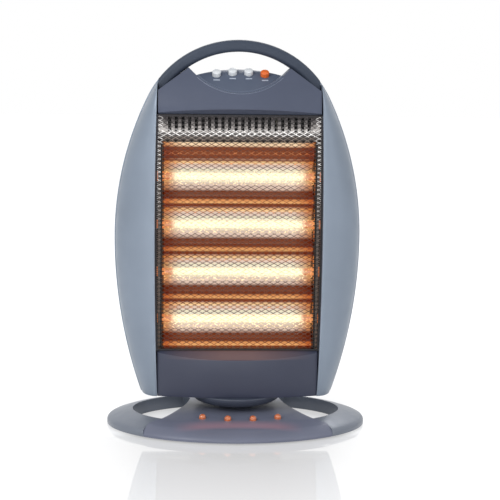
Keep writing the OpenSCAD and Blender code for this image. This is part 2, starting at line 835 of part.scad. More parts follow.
module rear_block(inset) {
    steps = [90, 84, 76, 66, 54, 40, 26, 13, 0];
    loft(concat(
        [for (a = steps) rear_ring(a == 90 ? 89.99 : a, inset)],
        inset > 0 ? [[for (p = rear_ring(0, inset)) [p[0], p[1] - 1, p[2]]]] : []));
}

module rear_shell() color([0.55, 0.58, 0.63]) {
    difference() {
        union() {
            difference() {
                rear_block(0);
                rear_block(wall);
            }
            intersection() {
                union() {
                    pair(boss_x, boss_back, head_bottom_z) cylinder(r = boss_r, h = deck_z - head_bottom_z);
                    shield_bosses(shield_y + sheet_t, back_y) circle(r = 6);
                    gland_place(back_y - 8, back_y) circle(r = cord_r + 6);
                }
                rear_block(eps);
            }
        }
        pair(boss_x, boss_back, deck_z - deck_screw) cylinder(r = 1.6, h = 20);
        shield_bosses(shield_y - 1, back_y - wall - 1) circle(r = 1.6);
        gland_place(0, back_y + 5) circle(r = cord_r + 2);
        translate([0, 0, head_bottom_z - 1]) cylinder(r = post_r + 2, h = 12);
        vents();
    }
}

// Rows of slots through the flat back, above and below the middle.
module vents() {
    for (z0 = [vent_low_z, vent_high_z], row = [0 : vent_rows - 1], x = [-vent_x, 0, vent_x])
        translate([x - vent_w / 2, back_y - 8, z0 + row * vent_pitch]) cube([vent_w, 20, vent_h]);
}

module shield_bosses(y0, y1) {
    for (x = [-post_x, post_x], z = [box_low_z + post_in_z, box_top_z - post_in_z])
        translate([x, 0, z]) front(y0, y1) children();
}

module gland_place(y0, y1) {
    translate([0, 0, box_low_z + 6]) front(y0, y1) children();
}

module cord_gland() color([0.13, 0.13, 0.14]) {
    difference() {
        union() {
            gland_place(back_y - 12, back_y + 0.5) circle(r = cord_r + 2 - seat);
            gland_place(back_y - 12, back_y - 8 - seat) circle(r = cord_r + 4);
        }
        gland_place(back_y - 20, back_y + 5) circle(r = cord_r);
    }
}

// Heating box

function trough(z0) = [for (i = [-8 : 8]) let (u = i / 8)
    [-trough_bed_y - (trough_lip_y - trough_bed_y) * (1 - pow(cos(90 * u), 0.75)), z0 + u * trough_half]];

module reflector() color([0.83, 0.83, 0.84]) {
    line = concat(
        [[-trough_lip_y, box_low_z + sheet_t]],
        [for (k = [0 : tube_n - 1]) each trough(tube_low_z + k * tube_pitch)],
        [[-trough_lip_y, box_top_z - sheet_t]]);
    back = [for (i = [len(line) - 1 : -1 : 0]) [line[i][0] + 1.6, line[i][1]]];
    rotate([90, 0, 90]) translate([0, 0, -box_half_w]) linear_extrude(height = 2 * box_half_w)
        polygon(concat(line, back));
}

module end_plate() {
    high = box_top_z - box_low_z;
    difference() {
        union() {
            translate([box_half_w + seat, -trough_lip_y - sheet_t, box_low_z])
                cube([sheet_t, trough_lip_y + shield_y + sheet_t, high]);
            translate([box_half_w + seat, -trough_lip_y - sheet_t - 1, box_low_z])
                cube([seam_x - box_half_w - seat - 0.5, sheet_t + 1, high]);
        }
        tube_places() cylinder(r = cap_d / 2 + seat, h = head_w, center = true);
    }
}

module end_plate_right() color([0.75, 0.75, 0.77]) { end_plate(); }
module end_plate_left() color([0.75, 0.75, 0.77]) { mirror([1, 0, 0]) end_plate(); }

module heat_shield() color([0.72, 0.72, 0.74]) {
    half = box_half_w + sheet_t + seat;
    difference() {
        translate([-half, shield_y, box_low_z]) cube([2 * half, sheet_t, box_top_z - box_low_z]);
        shield_bosses(shield_y - 1, shield_y + 2) circle(r = 2);
    }
}

// Runs along X through the middle of every tube.
module tube_places() {
    for (k = [1 : tube_n]) tube_place(k) children();
}

module tube_place(k) {
    translate([0, -tube_y, tube_low_z + (k - 1) * tube_pitch]) rotate([0, 90, 0]) children();
}

module quartz_tube(k) color([1, 0.93, 0.75, 0.8]) {
    if (k <= tube_n) tube_place(k) translate([0, 0, -tube_len / 2]) tube(tube_d / 2, tube_bore / 2, tube_len);
}

module filament(k) color([1, 0.7, 0.3]) {
    if (k <= tube_n) tube_place(k) translate([0, 0, -tube_len / 2]) cylinder(r = 1.2, h = tube_len);
}

module tube_caps(k) color([0.92, 0.9, 0.85]) {
    if (k <= tube_n) tube_place(k) for (side = [0, 1]) mirror([0, 0, side])
        translate([0, 0, tube_len / 2]) cylinder(r = cap_d / 2, h = cap_len);
}

// Spring clips that hold the caps against the outside of the end plates.
module tube_clips() color([0.8, 0.8, 0.82]) {
    out = box_half_w + seat + sheet_t;
    tube_places() for (side = [0, 1]) mirror([0, 0, side]) translate([0, 0, out]) difference() {
        union() {
            cylinder(r = cap_d / 2 + 1.4, h = 5);
            translate([-5, 0, 0]) cube([10, tube_y + shield_y, 1]);
        }
        translate([0, 0, -1]) cylinder(r = cap_d / 2 + seat, h = 8);
    }
}

module slotted_plate() color([0.8, 0.8, 0.82]) {
    y = trough_lip_y + sheet_t + 1;
    low = box_top_z + seat;
    difference() {
        union() {
            translate([-seam_x + 1, -y, low]) cube([2 * seam_x - 2, sheet_t, guard_top_z - low]);
            translate([-box_half_w, -y, low]) cube([2 * box_half_w, y + shield_y, sheet_t]);
        }
        for (i = [0 : slot_n - 1]) let (x = (i - (slot_n - 1) / 2) * slot_pitch)
            translate([x - slot_w / 2, -y - 1, slot_low_z])
                cube([slot_w, sheet_t + 2, slot_top_z - slot_low_z]);
    }
}

// Guard

function guard_outline(inset) = both([for (i = [0 : 10])
    let (z = guard_low_z + seat + (guard_top_z - guard_low_z - 2 * seat) * i / 10)
    [seam(z) - seat - inset, z + (i == 0 ? inset : i == 10 ? -inset : 0)]]);

module guard_frame() color([0.7, 0.7, 0.72]) {
    front(-guard_y, -guard_y + 2 * guard_t + 1) difference() {
        polygon(guard_outline(0));
        polygon(guard_outline(guard_edge));
    }
}

// A net of lozenges, coarser than the real expanded sheet.
module guard_mesh() color([0.8, 0.8, 0.82]) {
    inset = guard_edge + seat;
    wide = 2 * (seam_x - inset) / guard_nx;
    high = (guard_top_z - guard_low_z - 2 * seat - 2 * inset) / guard_nz;
    front(-guard_y + guard_t, -guard_y + 2 * guard_t) difference() {
        polygon(guard_outline(inset));
        for (row = [1 : 2 * guard_nz - 1], k = [0 : guard_nx - 1 - row % 2]) {
            x = (k + 0.5 + (row % 2) / 2) * wide - seam_x + inset;
            z = guard_low_z + seat + inset + row * high / 2;
            w = wide / 2 - strand_w;
            h = high / 2 - strand_w / 2;
            polygon([[x - w, z], [x, z - h], [x + w, z], [x, z + h]]);
        }
    }
}

// Wiring and fastenings

module terminal_block() color([0.9, 0.89, 0.84]) {
    translate([block_x, block_y, deck_z + deck_t]) cube(block_size);
}

module thermal_cutout() color([0.25, 0.25, 0.27]) {
    y = shield_y + sheet_t;
    translate([cutout_x, 0, mid_z]) front(y, y + cutout_t) circle(r = cutout_r);
}

// The sleeved harness, up behind the heat shield from the terminal block to the switches.
module wire_loom() color([0.85, 0.83, 0.78]) {
    x = loom_x;
    low = deck_z + deck_t + block_size[2];
    top = eye_low_z - 17;
    back = 2 * shield_y;
    route = [[x, -6, low], [x, -6, low + 8], [x, 6, low + 18], [x, 20, low + 28], [x, back, low + 42],
        [x, back, top - 32], [x - 3, 21, top - 17], [x - 14, 14, top - 7], [x - 24, 4, top - 2],
        [x - 26, -6, top]];
    loft([for (i = [0 : len(route) - 1]) ring_across(route, i, loom_d / 2)]);
}

// A ring of points square to a route at one of its points.
function ring_across(route, i, r, sides = 10) = let (
    d = route[min(i + 1, len(route) - 1)] - route[max(i - 1, 0)],
    t = d / norm(d),
    e = [1, 0, 0] - t[0] * t,
    u = e / norm(e),
    v = cross(t, u)
) [for (k = [0 : sides - 1]) route[i] + r * (cos(360 * k / sides) * u + sin(360 * k / sides) * v)];

// Long screws through the flat back into the posts behind the heat shield, and two under the deck.
module cover_screws() color([0.7, 0.7, 0.72]) {
    shield_bosses(shield_y - 3, shield_y + 20) circle(r = 1.5);
    shield_bosses(shield_y - 4.6, shield_y - 0.01) circle(r = 3);
    for (x = [-boss_x, boss_x], y = [-boss_front, boss_back]) translate([x, y, deck_z + deck_t]) {
        cylinder(r = screw_head_r, h = 1.6);
        translate([0, 0, 0.5 - deck_screw]) cylinder(r = 1.5, h = deck_screw);
    }
}

base_ring();
bridge_cover();
base_plate();
rubber_feet();
indicator_lenses();
base_screws();
neck_post();
yoke_arm();
yoke_nut();
tip_switch();
tip_plunger();
swivel_collar();
bearing_washer();
swivel_plate();
lower_panel();
top_panel();
control_panel();
side_panel_left();
side_panel_right();
handle();
rear_shell();
cord_gland();
cover_screws();
guard_frame();
guard_mesh();
slotted_plate();
reflector();
end_plate_left();
end_plate_right();
heat_shield();
tube_clips();
quartz_tube(1);  // quartz_tube_1
quartz_tube(2);  // quartz_tube_2
quartz_tube(3);  // quartz_tube_3
quartz_tube(4);  // quartz_tube_4
filament(1);  // filament_1
filament(2);  // filament_2
filament(3);  // filament_3
filament(4);  // filament_4
tube_caps(1);  // tube_caps_1
tube_caps(2);  // tube_caps_2
tube_caps(3);  // tube_caps_3
tube_caps(4);  // tube_caps_4
switch_block();
color([0.87, 0.88, 0.88]) button(1);  // button_1
color([0.87, 0.88, 0.88]) button(2);  // button_2
color([0.87, 0.88, 0.88]) button(3);  // button_3
color([0.95, 0.48, 0.22]) button(4);  // button_4
motor();
motor_bracket();
crank();
terminal_block();
thermal_cutout();
wire_loom();
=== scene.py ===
"""Looks of the oscillating halogen heater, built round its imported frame.

Lengths in the tables below are millimetres, turned into metres by mm(). The object stands on its
base at the origin, faces -Y, and its head swings about Z.
"""
import math

import bmesh
import bpy
from mathutils import Matrix, Vector


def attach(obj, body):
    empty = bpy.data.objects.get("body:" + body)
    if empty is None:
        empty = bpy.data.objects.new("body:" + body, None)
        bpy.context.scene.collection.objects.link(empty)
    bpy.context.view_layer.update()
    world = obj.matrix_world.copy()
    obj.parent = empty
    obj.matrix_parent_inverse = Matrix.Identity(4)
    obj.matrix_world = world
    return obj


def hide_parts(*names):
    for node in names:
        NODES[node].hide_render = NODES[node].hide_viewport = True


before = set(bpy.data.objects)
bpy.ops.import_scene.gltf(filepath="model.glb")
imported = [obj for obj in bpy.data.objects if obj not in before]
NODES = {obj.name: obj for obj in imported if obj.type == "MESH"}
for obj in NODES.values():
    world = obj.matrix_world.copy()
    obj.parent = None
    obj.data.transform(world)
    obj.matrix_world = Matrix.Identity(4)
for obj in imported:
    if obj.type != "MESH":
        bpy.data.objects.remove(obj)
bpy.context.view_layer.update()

# Driving sizes of the head, in millimetres
HANDLE_TOP_Z = 546.0
TOP_R = 142.0
HEAD_HALF = 173.5
WIDEST_Z = 269.0
LOW_SIDE_R = 670.0
HEAD_BOTTOM_Z = 48.0
SEAM_X = 112.5
SEAM_BOW = 4.0
FRONT_Y = 50.0
FRONT_BOW = 6.0
PART_Y = 6.0
BACK_Y = 60.0
WALL = 2.5
RIM_LIP = 1.6
HANDLE_T = 16.6
SHOULDER_DROP = 14.0
TIP_MARGIN = 11.0
CREST_Z = 505.0
CREST_FALL = 8.0
EYE_HALF_W = 59.7
EYE_LOW_Z = 474.0
EYE_SLOPE = math.radians(34)
EYE_LOW_Y = 54.0
TOP_NOSE_Y = 64.0
TOP_CREASE_Z = 452.0
CROWN = 14.0
TOP_LEAN = 26.0
LEAN_POWER = 1.6
LOW_NOSE_Y = 62.0
LOW_CREASE_Z = 103.0
LOW_TUCK = 7.0
GUARD_TOP_Z = 444.0
GUARD_LOW_Z = 114.0
GUARD_Y = 46.0

CROWN_Z = HANDLE_TOP_Z - TOP_R
DROP = CROWN_Z - WIDEST_Z
SIDE_R = (HEAD_HALF ** 2 + DROP ** 2 - TOP_R ** 2) / (2 * (HEAD_HALF - TOP_R))
JOIN_A = math.atan2(DROP, SIDE_R - HEAD_HALF)
JOIN_Z = WIDEST_Z + SIDE_R * math.sin(JOIN_A)
SEAM_A = math.acos(SEAM_X / TOP_R)
GRIP_R = TOP_R - HANDLE_T
NOTCH_Z = CREST_Z - CREST_FALL
TIP_A = math.acos((EYE_HALF_W + TIP_MARGIN) / GRIP_R)
CREST_R = (EYE_HALF_W ** 2 + CREST_FALL ** 2) / (2 * CREST_FALL)
EYE_DEPTH = NOTCH_Z - EYE_LOW_Z
EYE_R = (EYE_HALF_W ** 2 + EYE_DEPTH ** 2) / (2 * EYE_DEPTH)
EYE_A = math.asin(EYE_HALF_W / EYE_R)
CREST_A = math.asin(EYE_HALF_W / CREST_R)
MID_Z = (GUARD_LOW_Z + GUARD_TOP_Z) / 2
BOW_SPAN = MID_Z - HEAD_BOTTOM_Z + 1


# Outline of the head

def side_x(z):
    """Half width of the head at a height."""
    if z < WIDEST_Z:
        return HEAD_HALF - LOW_SIDE_R + math.sqrt(LOW_SIDE_R ** 2 - (z - WIDEST_Z) ** 2)
    if z < JOIN_Z:
        return HEAD_HALF - SIDE_R + math.sqrt(SIDE_R ** 2 - (z - WIDEST_Z) ** 2)
    return math.sqrt(max(TOP_R ** 2 - (z - CROWN_Z) ** 2, 0))


def bow(z):
    """The share of the full bow at a height, 1 in the middle of the guard."""
    return 1 - ((z - MID_Z) / BOW_SPAN) ** 2


def seam(z):
    """Half width of the front's middle part, up to the seam with the side cover."""
    return SEAM_X + SEAM_BOW * bow(z)


def lean(z):
    """How far the front falls back towards the crest."""
    if z < TOP_CREASE_Z:
        return 0
    return TOP_LEAN * ((z - TOP_CREASE_Z) / (CREST_Z - TOP_CREASE_Z)) ** LEAN_POWER


def tuck(z):
    """How far the front falls back towards the underside."""
    if z > LOW_CREASE_Z:
        return 0
    return LOW_TUCK * ((LOW_CREASE_Z - z) / (LOW_CREASE_Z - HEAD_BOTTOM_Z)) ** 2


def edge_y(z):
    """Depth of the side cover's front edge."""
    return FRONT_Y + FRONT_BOW * max(bow(z), 0) - lean(z) - tuck(z)


def turn(n):
    """The angles of a full turn in equal steps."""
    return [2 * math.pi * i / n for i in range(n)]


def quarter(n):
    """The angles from 0 to a quarter turn in equal steps."""
    return [math.pi / 2 * i / n for i in range(n + 1)]


def levels(low, high, n):
    """The values from one to another in equal steps."""
    return [low + (high - low) * i / n for i in range(n + 1)]


def arc(cx, cy, r, a0, a1, n):
    return [(cx + r * math.cos(a), cy + r * math.sin(a)) for a in levels(a0, a1, n)]


def both(half):
    """A right-hand half outline from bottom to top, closed by its mirror image."""
    return half + [(-x, z) for x, z in reversed(half) if x > 0.01]


def crest(gap=0.0):
    """The low arc of the head's crest, from its notch to the middle."""
    return arc(0, CREST_Z - CREST_R, CREST_R - gap, math.pi / 2 - CREST_A, math.pi / 2, 16)


def eye_arc(gap):
    """The lower edge of the control panel, from the middle to its side."""
    return arc(0, EYE_LOW_Z + EYE_R, EYE_R + gap, -math.pi / 2, EYE_A - math.pi / 2, 24)


def eye_outline(gap=0.0, over=0.0):
    """Front view of the control panel: grown by a gap, and raised over the crest."""
    return both(eye_arc(gap) + [(EYE_HALF_W + gap, NOTCH_Z)] + crest(-over))


# Mesh making

MERGE_DISTANCE = 0.00001
SHARP_EDGE = math.radians(35)


def mm(points):
    return [tuple(c / 1000 for c in p) for p in points]


def linked(name, data):
    """A new object in the scene."""
    obj = bpy.data.objects.new(name, data)
    bpy.context.scene.collection.objects.link(obj)
    return obj


def new_object(name, vertices, faces):
    """A mesh object from vertices in millimetres, with its normals turned outwards."""
    mesh = bpy.data.meshes.new(name)
    mesh.from_pydata(mm(vertices), [], faces)
    work = bmesh.new()
    work.from_mesh(mesh)
    bmesh.ops.recalc_face_normals(work, faces=work.faces)
    work.to_mesh(mesh)
    work.free()
    return linked(name, mesh)


def ellipse(a, b, z, n=192):
    return [(a * math.cos(t), b * math.sin(t), z) for t in turn(n)]


def loft(name, rings, closed=False):
    """A skin over rings with equally many points, capped with flat fans unless it closes on itself."""
    n, m = len(rings[0]), len(rings)
    vertices = [p for ring in rings for p in ring]
    faces = []
    for k in range(m if closed else m - 1):
        a, b = k * n, (k + 1) % m * n
        faces += [(a + i, a + (i + 1) % n, b + (i + 1) % n, b + i) for i in range(n)]
    if not closed:
        for k in (0, m - 1):
            middle = [sum(p[c] for p in rings[k]) / n for c in range(3)]
            vertices.append(tuple(middle))
            faces += [(len(vertices) - 1, k * n + i, k * n + (i + 1) % n) for i in range(n)]
    return new_object(name, vertices, faces)


def lathe(name, profile, n):
    """A turned piece: (radius, height) points from the axis round to the axis."""
    obj = loft(name, [ellipse(r, r, z, n) for r, z in profile])
    work = bmesh.new()
    work.from_mesh(obj.data)
    bmesh.ops.remove_doubles(work, verts=work.verts, dist=MERGE_DISTANCE)
    bmesh.ops.recalc_face_normals(work, faces=work.faces)
    work.to_mesh(obj.data)
    work.free()
    return obj


def hole(name, r, low, high, n=96):
    """A round cutter about the axis."""
    return lathe(name, [(0, low), (r, low), (r, high), (0, high)], n)


def prism(name, outline, low, high, axis="z"):
    """An outline swept between two distances along an axis."""
    place = {"x": lambda u, v, w: (w, u, v), "y": lambda u, v, w: (u, w, v),
             "z": lambda u, v, w: (u, v, w)}[axis]
    n = len(outline)
    vertices = [place(u, v, w) for w in (low, high) for u, v in outline]
    faces = [tuple(range(n)), tuple(range(n, 2 * n))]
    faces += [(i, (i + 1) % n, n + (i + 1) % n, n + i) for i in range(n)]
    return new_object(name, vertices, faces)


def settle(obj):
    """Applies the modifiers of an object."""
    graph = bpy.context.evaluated_depsgraph_get()
    mesh = bpy.data.meshes.new_from_object(obj.evaluated_get(graph))
    obj.modifiers.clear()
    obj.data = mesh
    return obj


def carve(obj, cutter, operation="DIFFERENCE"):
    """Cuts one object with another, which is used up."""
    step = obj.modifiers.new("carve", "BOOLEAN")
    step.operation = operation
    step.object = cutter
    step.solver = "EXACT"
    settle(obj)
    bpy.data.objects.remove(cutter)
    return obj


def rounded(obj, width, segments=3):
    """Rounds the sharp edges."""
    step = obj.modifiers.new("round", "BEVEL")
    step.width = width / 1000
    step.segments = segments
    step.limit_method = "ANGLE"
    step.angle_limit = SHARP_EDGE
    return settle(obj)


def joined(name, objects):
    """One object from several."""
    work = bmesh.new()
    for obj in objects:
        mesh = obj.data.copy()
        mesh.transform(obj.matrix_world)
        work.from_mesh(mesh)
        bpy.data.meshes.remove(mesh)
        bpy.data.objects.remove(obj)
    mesh = bpy.data.meshes.new(name)
    work.to_mesh(mesh)
    work.free()
    return linked(name, mesh)


def dress(obj, body, material, slot, nodes=(), smooth=35):
    """Smooths a piece, gives it its finish and hangs it on its body."""
    obj.data.materials.clear()
    obj.data.materials.append(material)
    obj.data.shade_smooth()
    obj.data.set_sharp_from_angle(angle=math.radians(smooth))
    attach(obj, body)
    if nodes:
        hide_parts(*nodes)
    return obj


# Finishes

def linear(colour):
    """An sRGB colour of 0 to 255 as Blender's linear one."""
    return [((c / 255 + 0.055) / 1.055) ** 2.4 for c in colour] + [1.0]


def tones(stops):
    """The stops of a ramp, from sRGB colours."""
    return [(where, linear(colour)) for where, colour in stops]


class Finish:
    """A material with short ways to add and join its nodes."""

    def __init__(self, name):
        self.material = bpy.data.materials.new(name)
        self.material.use_nodes = True
        self.nodes = self.material.node_tree.nodes
        self.links = self.material.node_tree.links
        self.shader = self.nodes["Principled BSDF"]

    def fill(self, socket, value):
        """Links a socket to another one, or sets it to a constant."""
        if isinstance(value, bpy.types.NodeSocket):
            self.links.new(value, socket)
        else:
            socket.default_value = value

    def add(self, kind, **sockets):
        node = self.nodes.new("ShaderNode" + kind)
        for key, value in sockets.items():
            self.fill(node.inputs[key], value)
        return node

    def place(self):
        return self.add("TexCoord").outputs["Object"]

    def stretched(self, scale):
        return self.add("Mapping", Vector=self.place(), Scale=scale).outputs["Vector"]

    def noise(self, scale, detail=2.0, at=None):
        return self.add("TexNoise", Vector=at or self.place(), Scale=scale, Detail=detail).outputs["Fac"]

    def ramp(self, value, stops):
        node = self.add("ValToRGB", Fac=value)
        points = node.color_ramp.elements
        for k, (where, colour) in enumerate(stops):
            point = points[k] if k < 2 else points.new(where)
            point.position = where
            point.color = colour
        return node.outputs["Color"]

    def span(self, value, low, high, to_low, to_high):
        node = self.nodes.new("ShaderNodeMapRange")
        self.links.new(value, node.inputs["Value"])
        limits = {"From Min": low, "From Max": high, "To Min": to_low, "To Max": to_high}
        for key, number in limits.items():
            node.inputs[key].default_value = number
        return node.outputs["Result"]

    def math(self, operation, *values):
        node = self.nodes.new("ShaderNodeMath")
        node.operation = operation
        for socket, value in zip(node.inputs, values):
            self.fill(socket, value)
        return node.outputs[0]

    def times(self, first, second):
        return self.math("MULTIPLY", first, second)

    def mix(self, share, first, second, mode="MIX"):
        node = self.add("MixRGB", Fac=share, Color1=first, Color2=second)
        node.blend_type = mode
        return node.outputs["Color"]

    def axes(self):
        return self.add("SeparateXYZ", Vector=self.place()).outputs

    def to(self, key, value):
        self.fill(self.shader.inputs[key], value)

    def sides(self, axis="X"):
        """Distance from the middle plane across an axis."""
        return self.math("ABSOLUTE", self.axes()[axis])

    def bump(self, height, depth, strength):
        node = self.add("Bump", Height=height, Strength=strength, Distance=depth)
        self.links.new(node.outputs["Normal"], self.shader.inputs["Normal"])


MOTTLE = 0.05
ROLLED_GRAIN = 0.00002


def shade(colour, share):
    return [min(c * share, 1.0) for c in colour[:3]] + [1.0]


def moulded(name, srgb, **finish):
    return moulded_kit(name, srgb, **finish).material


def moulded_kit(name, srgb, rough, metal=0.0, grain=0.00003, specular=0.5):
    """Moulded or painted plastic: a fine spark-eroded grain, faint flow marks and uneven gloss."""
    kit = Finish(name)
    colour = linear(srgb)
    kit.to("Base Color", kit.ramp(kit.noise(14, 3), [
        (0.3, shade(colour, 1 - MOTTLE)), (0.7, shade(colour, 1 + MOTTLE))]))
    kit.to("Roughness", kit.span(kit.noise(60, 4), 0.3, 0.7, rough - 0.05, rough + 0.05))
    kit.to("Metallic", metal)
    kit.to("Specular IOR Level", specular)
    kit.bump(kit.noise(2400), grain, 0.35)
    return kit


def metal_sheet(name, srgb, rough, scale, stretch=(1, 1, 1)):
    """Bare metal, with rolling marks along the axis of least stretch."""
    kit = Finish(name)
    colour = linear(srgb)
    lines = kit.noise(scale, 3, kit.stretched(stretch))
    kit.to("Base Color", kit.ramp(lines, [(0.3, shade(colour, 0.9)), (0.7, shade(colour, 1.06))]))
    kit.to("Metallic", 1.0)
    kit.to("Roughness", kit.span(lines, 0.3, 0.7, rough - 0.06, rough + 0.06))
    kit.bump(lines, ROLLED_GRAIN, 0.3)
    return kit.material


def glowing(name, srgb, hot_srgb, strength, half_lit, fade):
    """A hot tube: the glow falls off towards both ends, along X."""
    kit = Finish(name)
    heat = kit.span(kit.sides(), (half_lit - fade) / 1000, half_lit / 1000, 1.0, 0.0)
    kit.to("Base Color", linear(srgb))
    kit.to("Roughness", kit.span(kit.noise(90), 0.3, 0.7, 0.1, 0.16))
    kit.to("Emission Color", kit.ramp(heat, tones([
        (0.0, (235, 110, 40)), (0.6, hot_srgb), (1.0, hot_srgb)])))
    kit.to("Emission Strength", kit.span(heat, 0.0, 1.0, 0.5, strength))
    return kit.material


LIGHT = moulded("light_plastic", (129, 140, 154), rough=0.4, metal=0.25)
BASE_LIGHT = moulded("base_plastic", (116, 122, 133), rough=0.36, metal=0.2)
SLATE = moulded("slate_plastic", (80, 86, 103), rough=0.5, specular=0.22)
# Lighter than the slate: a painted highlight for the bead along the control panel's opening
RIM_HIGHLIGHT = moulded("rim_highlight_plastic", (104, 112, 130), rough=0.3)
EYE_SLATE = moulded("eye_plastic", (87, 96, 114), rough=0.42, specular=0.3)
DARK = moulded("dark_plastic", (66, 72, 86), rough=0.38)
HANDLE_DARK = moulded("handle_plastic", (60, 68, 82), rough=0.5, specular=0.25)
BLACK = moulded("black_plastic", (34, 35, 39), rough=0.5)
RUBBER = moulded("rubber", (28, 28, 29), rough=0.75, grain=0.00008)
NYLON = moulded("nylon", (222, 220, 208), rough=0.45)
CERAMIC = moulded("ceramic", (226, 220, 205), rough=0.6, grain=0.00006)
SLEEVING = moulded("sleeving", (196, 190, 176), rough=0.7, grain=0.0001)
BUTTON_WHITE = moulded("button_white", (228, 231, 233), rough=0.32)
BUTTON_ORANGE = moulded("button_orange", (236, 112, 48), rough=0.32)
LEGEND = moulded("legend_ink", (176, 184, 198), rough=0.5)
ZINC_SCREW = metal_sheet("zinc_screw", (196, 198, 202), rough=0.3, scale=900)
ZINC_SHEET = metal_sheet("zinc_sheet", (182, 186, 190), rough=0.38, scale=260, stretch=(0.1, 1, 1))
FRAME_STEEL = metal_sheet("guard_edge", (46, 45, 47), rough=0.36, scale=500)
MOTOR_STEEL = metal_sheet("motor_steel", (190, 192, 196), rough=0.34, scale=300, stretch=(1, 1, 0.1))
TUNGSTEN = glowing("tungsten", (60, 50, 45), (255, 214, 150), 3.2, 99, 6)
QUARTZ = glowing("quartz", (180, 168, 148), (255, 238, 196), 1.1, 95, 11)

# Painted light: emission on the ledge under the guard stands in for the glow of the tubes falling on it,
# most in its middle
low_kit = moulded_kit("lower_plastic", (60, 64, 81), rough=0.36, specular=0.4)
low_kit.to("Emission Color", (0.11, 0.045, 0.018, 1))
low_kit.to("Emission Strength", low_kit.times(low_kit.span(low_kit.axes()["Z"], 0.1025, 0.1045, 0, 1),
                                              low_kit.span(low_kit.sides(), 0.02, 0.105, 1, 0)))
LOW_SLATE = low_kit.material

# Painted reflection: a warm band of emission on the bridge before the lenses stands in for the glow
# reflected in it
bridge_kit = moulded_kit("bridge_plastic", (109, 113, 130), rough=0.38, specular=0.35)
depth_in = bridge_kit.axes()["Y"]
reflection_band = bridge_kit.times(bridge_kit.span(depth_in, -0.108, -0.101, 0, 1),
                          bridge_kit.span(depth_in, -0.096, -0.08, 1, 0))
bridge_kit.to("Emission Color", (0.10, 0.02, 0.014, 1))
bridge_kit.to("Emission Strength", bridge_kit.times(
    reflection_band, bridge_kit.span(bridge_kit.sides(), 0.055, 0.09, 1, 0)))
BRIDGE = bridge_kit.material

# The caps at the ends of the tubes, with painted glow: emission stands in for the light of the tubes on
# them
lit_kit = moulded_kit("lit_ceramic", (214, 172, 128), rough=0.6, grain=0.00006)
lit_kit.to("Emission Color", linear((216, 110, 44)))
lit_kit.to("Emission Strength", 0.55)
LIT_CERAMIC = lit_kit.material

# The slotted plate over the tubes, with painted light and shade: painted dark at its foot, a painted bright
# band, and painted shade again under the top cover
slotted = Finish("slotted_sheet")
brushed = slotted.noise(300, 3, slotted.stretched((0.08, 1, 1)))
slotted.to("Base Color", slotted.ramp(slotted.span(slotted.axes()["Z"], 0.405, 0.445, 0, 1), tones([
    (0.06, (18, 16, 15)), (0.1, (56, 52, 50)), (0.3, (74, 71, 70)), (0.42, (150, 146, 143)),
    (0.56, (118, 114, 112)), (0.8, (58, 55, 56))])))
slotted.to("Metallic", 1.0)
slotted.to("Roughness", slotted.span(brushed, 0.3, 0.7, 0.26, 0.36))
slotted.bump(brushed, ROLLED_GRAIN, 0.3)
SLOTTED = slotted.material


# Base

BASE_W = 369.0
BASE_D = 254.0
RING_IN_X = 148.0
RING_IN_Y = 91.0
FOOT_H = 2.0
RING_Z = 21.0
BRIDGE_Z = 27.0
WAIST = 65.0
WAIST_Y = 50.0
FLARE_R = 180.0
FLARE_A = math.radians(39)
BACK_R = 46.0
POST_R = 24.0
SEAT = 0.2
COVER_T = 2.0
COVER_FOOT = (131.0, -87.0)
COVER_TURN = (124.0, -73.0)
PLATE_INSET = 5.0
LAND = 4.0
BASE_TOP = 60.0
LENS_R = 4.75
LENS_PITCH = 35.0
LENS_X = 3.5
LENS_Y = -81.0
LENS_BOW = 4.5
LENS_DROP = 3.1
LENS_TILT = 7.0
LENS_FOOT = -2.2
LENS_NECK = 1.3
LENS_CROWN = 4.2
NECK_R = POST_R + 2
BELLY_H = 15.5
BELLY_R = 40.0
BELLY_REACH = 26.0


def smooth(points, per=6):
    """A curve through tuples of numbers, which passes through each of them."""
    first = tuple(2 * a - b for a, b in zip(points[0], points[1]))
    last = tuple(2 * a - b for a, b in zip(points[-1], points[-2]))
    ends = [first] + list(points) + [last]
    result = []
    for four in zip(ends, ends[1:], ends[2:], ends[3:]):
        for i in range(per):
            t = i / per
            result.append(tuple(
                0.5 * (2 * b + (c - a) * t + (2 * a - 5 * b + 4 * c - d) * t ** 2
                       + (3 * b - a - 3 * c + d) * t ** 3) for a, b, c, d in zip(*four)))
    return result + [tuple(points[-1])]


def oval(a, b):
    return [point[:2] for point in ellipse(a, b, 0)]


def dome(name, rise):
    """A low dome over the base's oval. Each level: inset at the side, inset at the front, height."""
    return loft(name, [ellipse(BASE_W / 2 - side, BASE_D / 2 - front, z) for side, front, z in rise])


def flare(gap):
    """The hollow curve from the cover's turn to its waist."""
    return [(WAIST + gap + FLARE_R * (1 - math.cos(a)), WAIST_Y - FLARE_R * math.sin(a))
            for a in [FLARE_A * i / 24 for i in range(24, -1, -1)]]


def cover_plan(gap):
    """Plan of the bridge, from before the base to the rear of its openings."""
    (foot_x, foot_y), (turn_x, turn_y) = COVER_FOOT, COVER_TURN
    return both([(foot_x + gap, -BASE_D), (foot_x + gap, foot_y), (turn_x + gap, turn_y)] + flare(gap)
                + [(WAIST + gap, RING_IN_Y - 8)])


def ring_space(side, grow=0):
    """One of the two openings through the base, as a cutter."""
    (foot_x, _), (turn_x, turn_y) = COVER_FOOT, COVER_TURN
    cutter = prism("opening", oval(RING_IN_X + grow, RING_IN_Y + grow), -1, BASE_TOP)
    back = [(WAIST - grow + BACK_R * (1 - math.cos(a)), WAIST_Y + BACK_R * math.sin(a))
            for a in [math.radians(60) * i / 12 for i in range(1, 13)]]
    edge = [(foot_x - grow, -BASE_D), (turn_x - grow, turn_y)] + flare(-grow) + back + [
        (WAIST + BACK_R, BASE_D), (BASE_D, BASE_D), (BASE_D, -BASE_D)]
    return carve(cutter, prism("side", [(x * side, y) for x, y in edge], -2, BASE_TOP + 1), "INTERSECT")


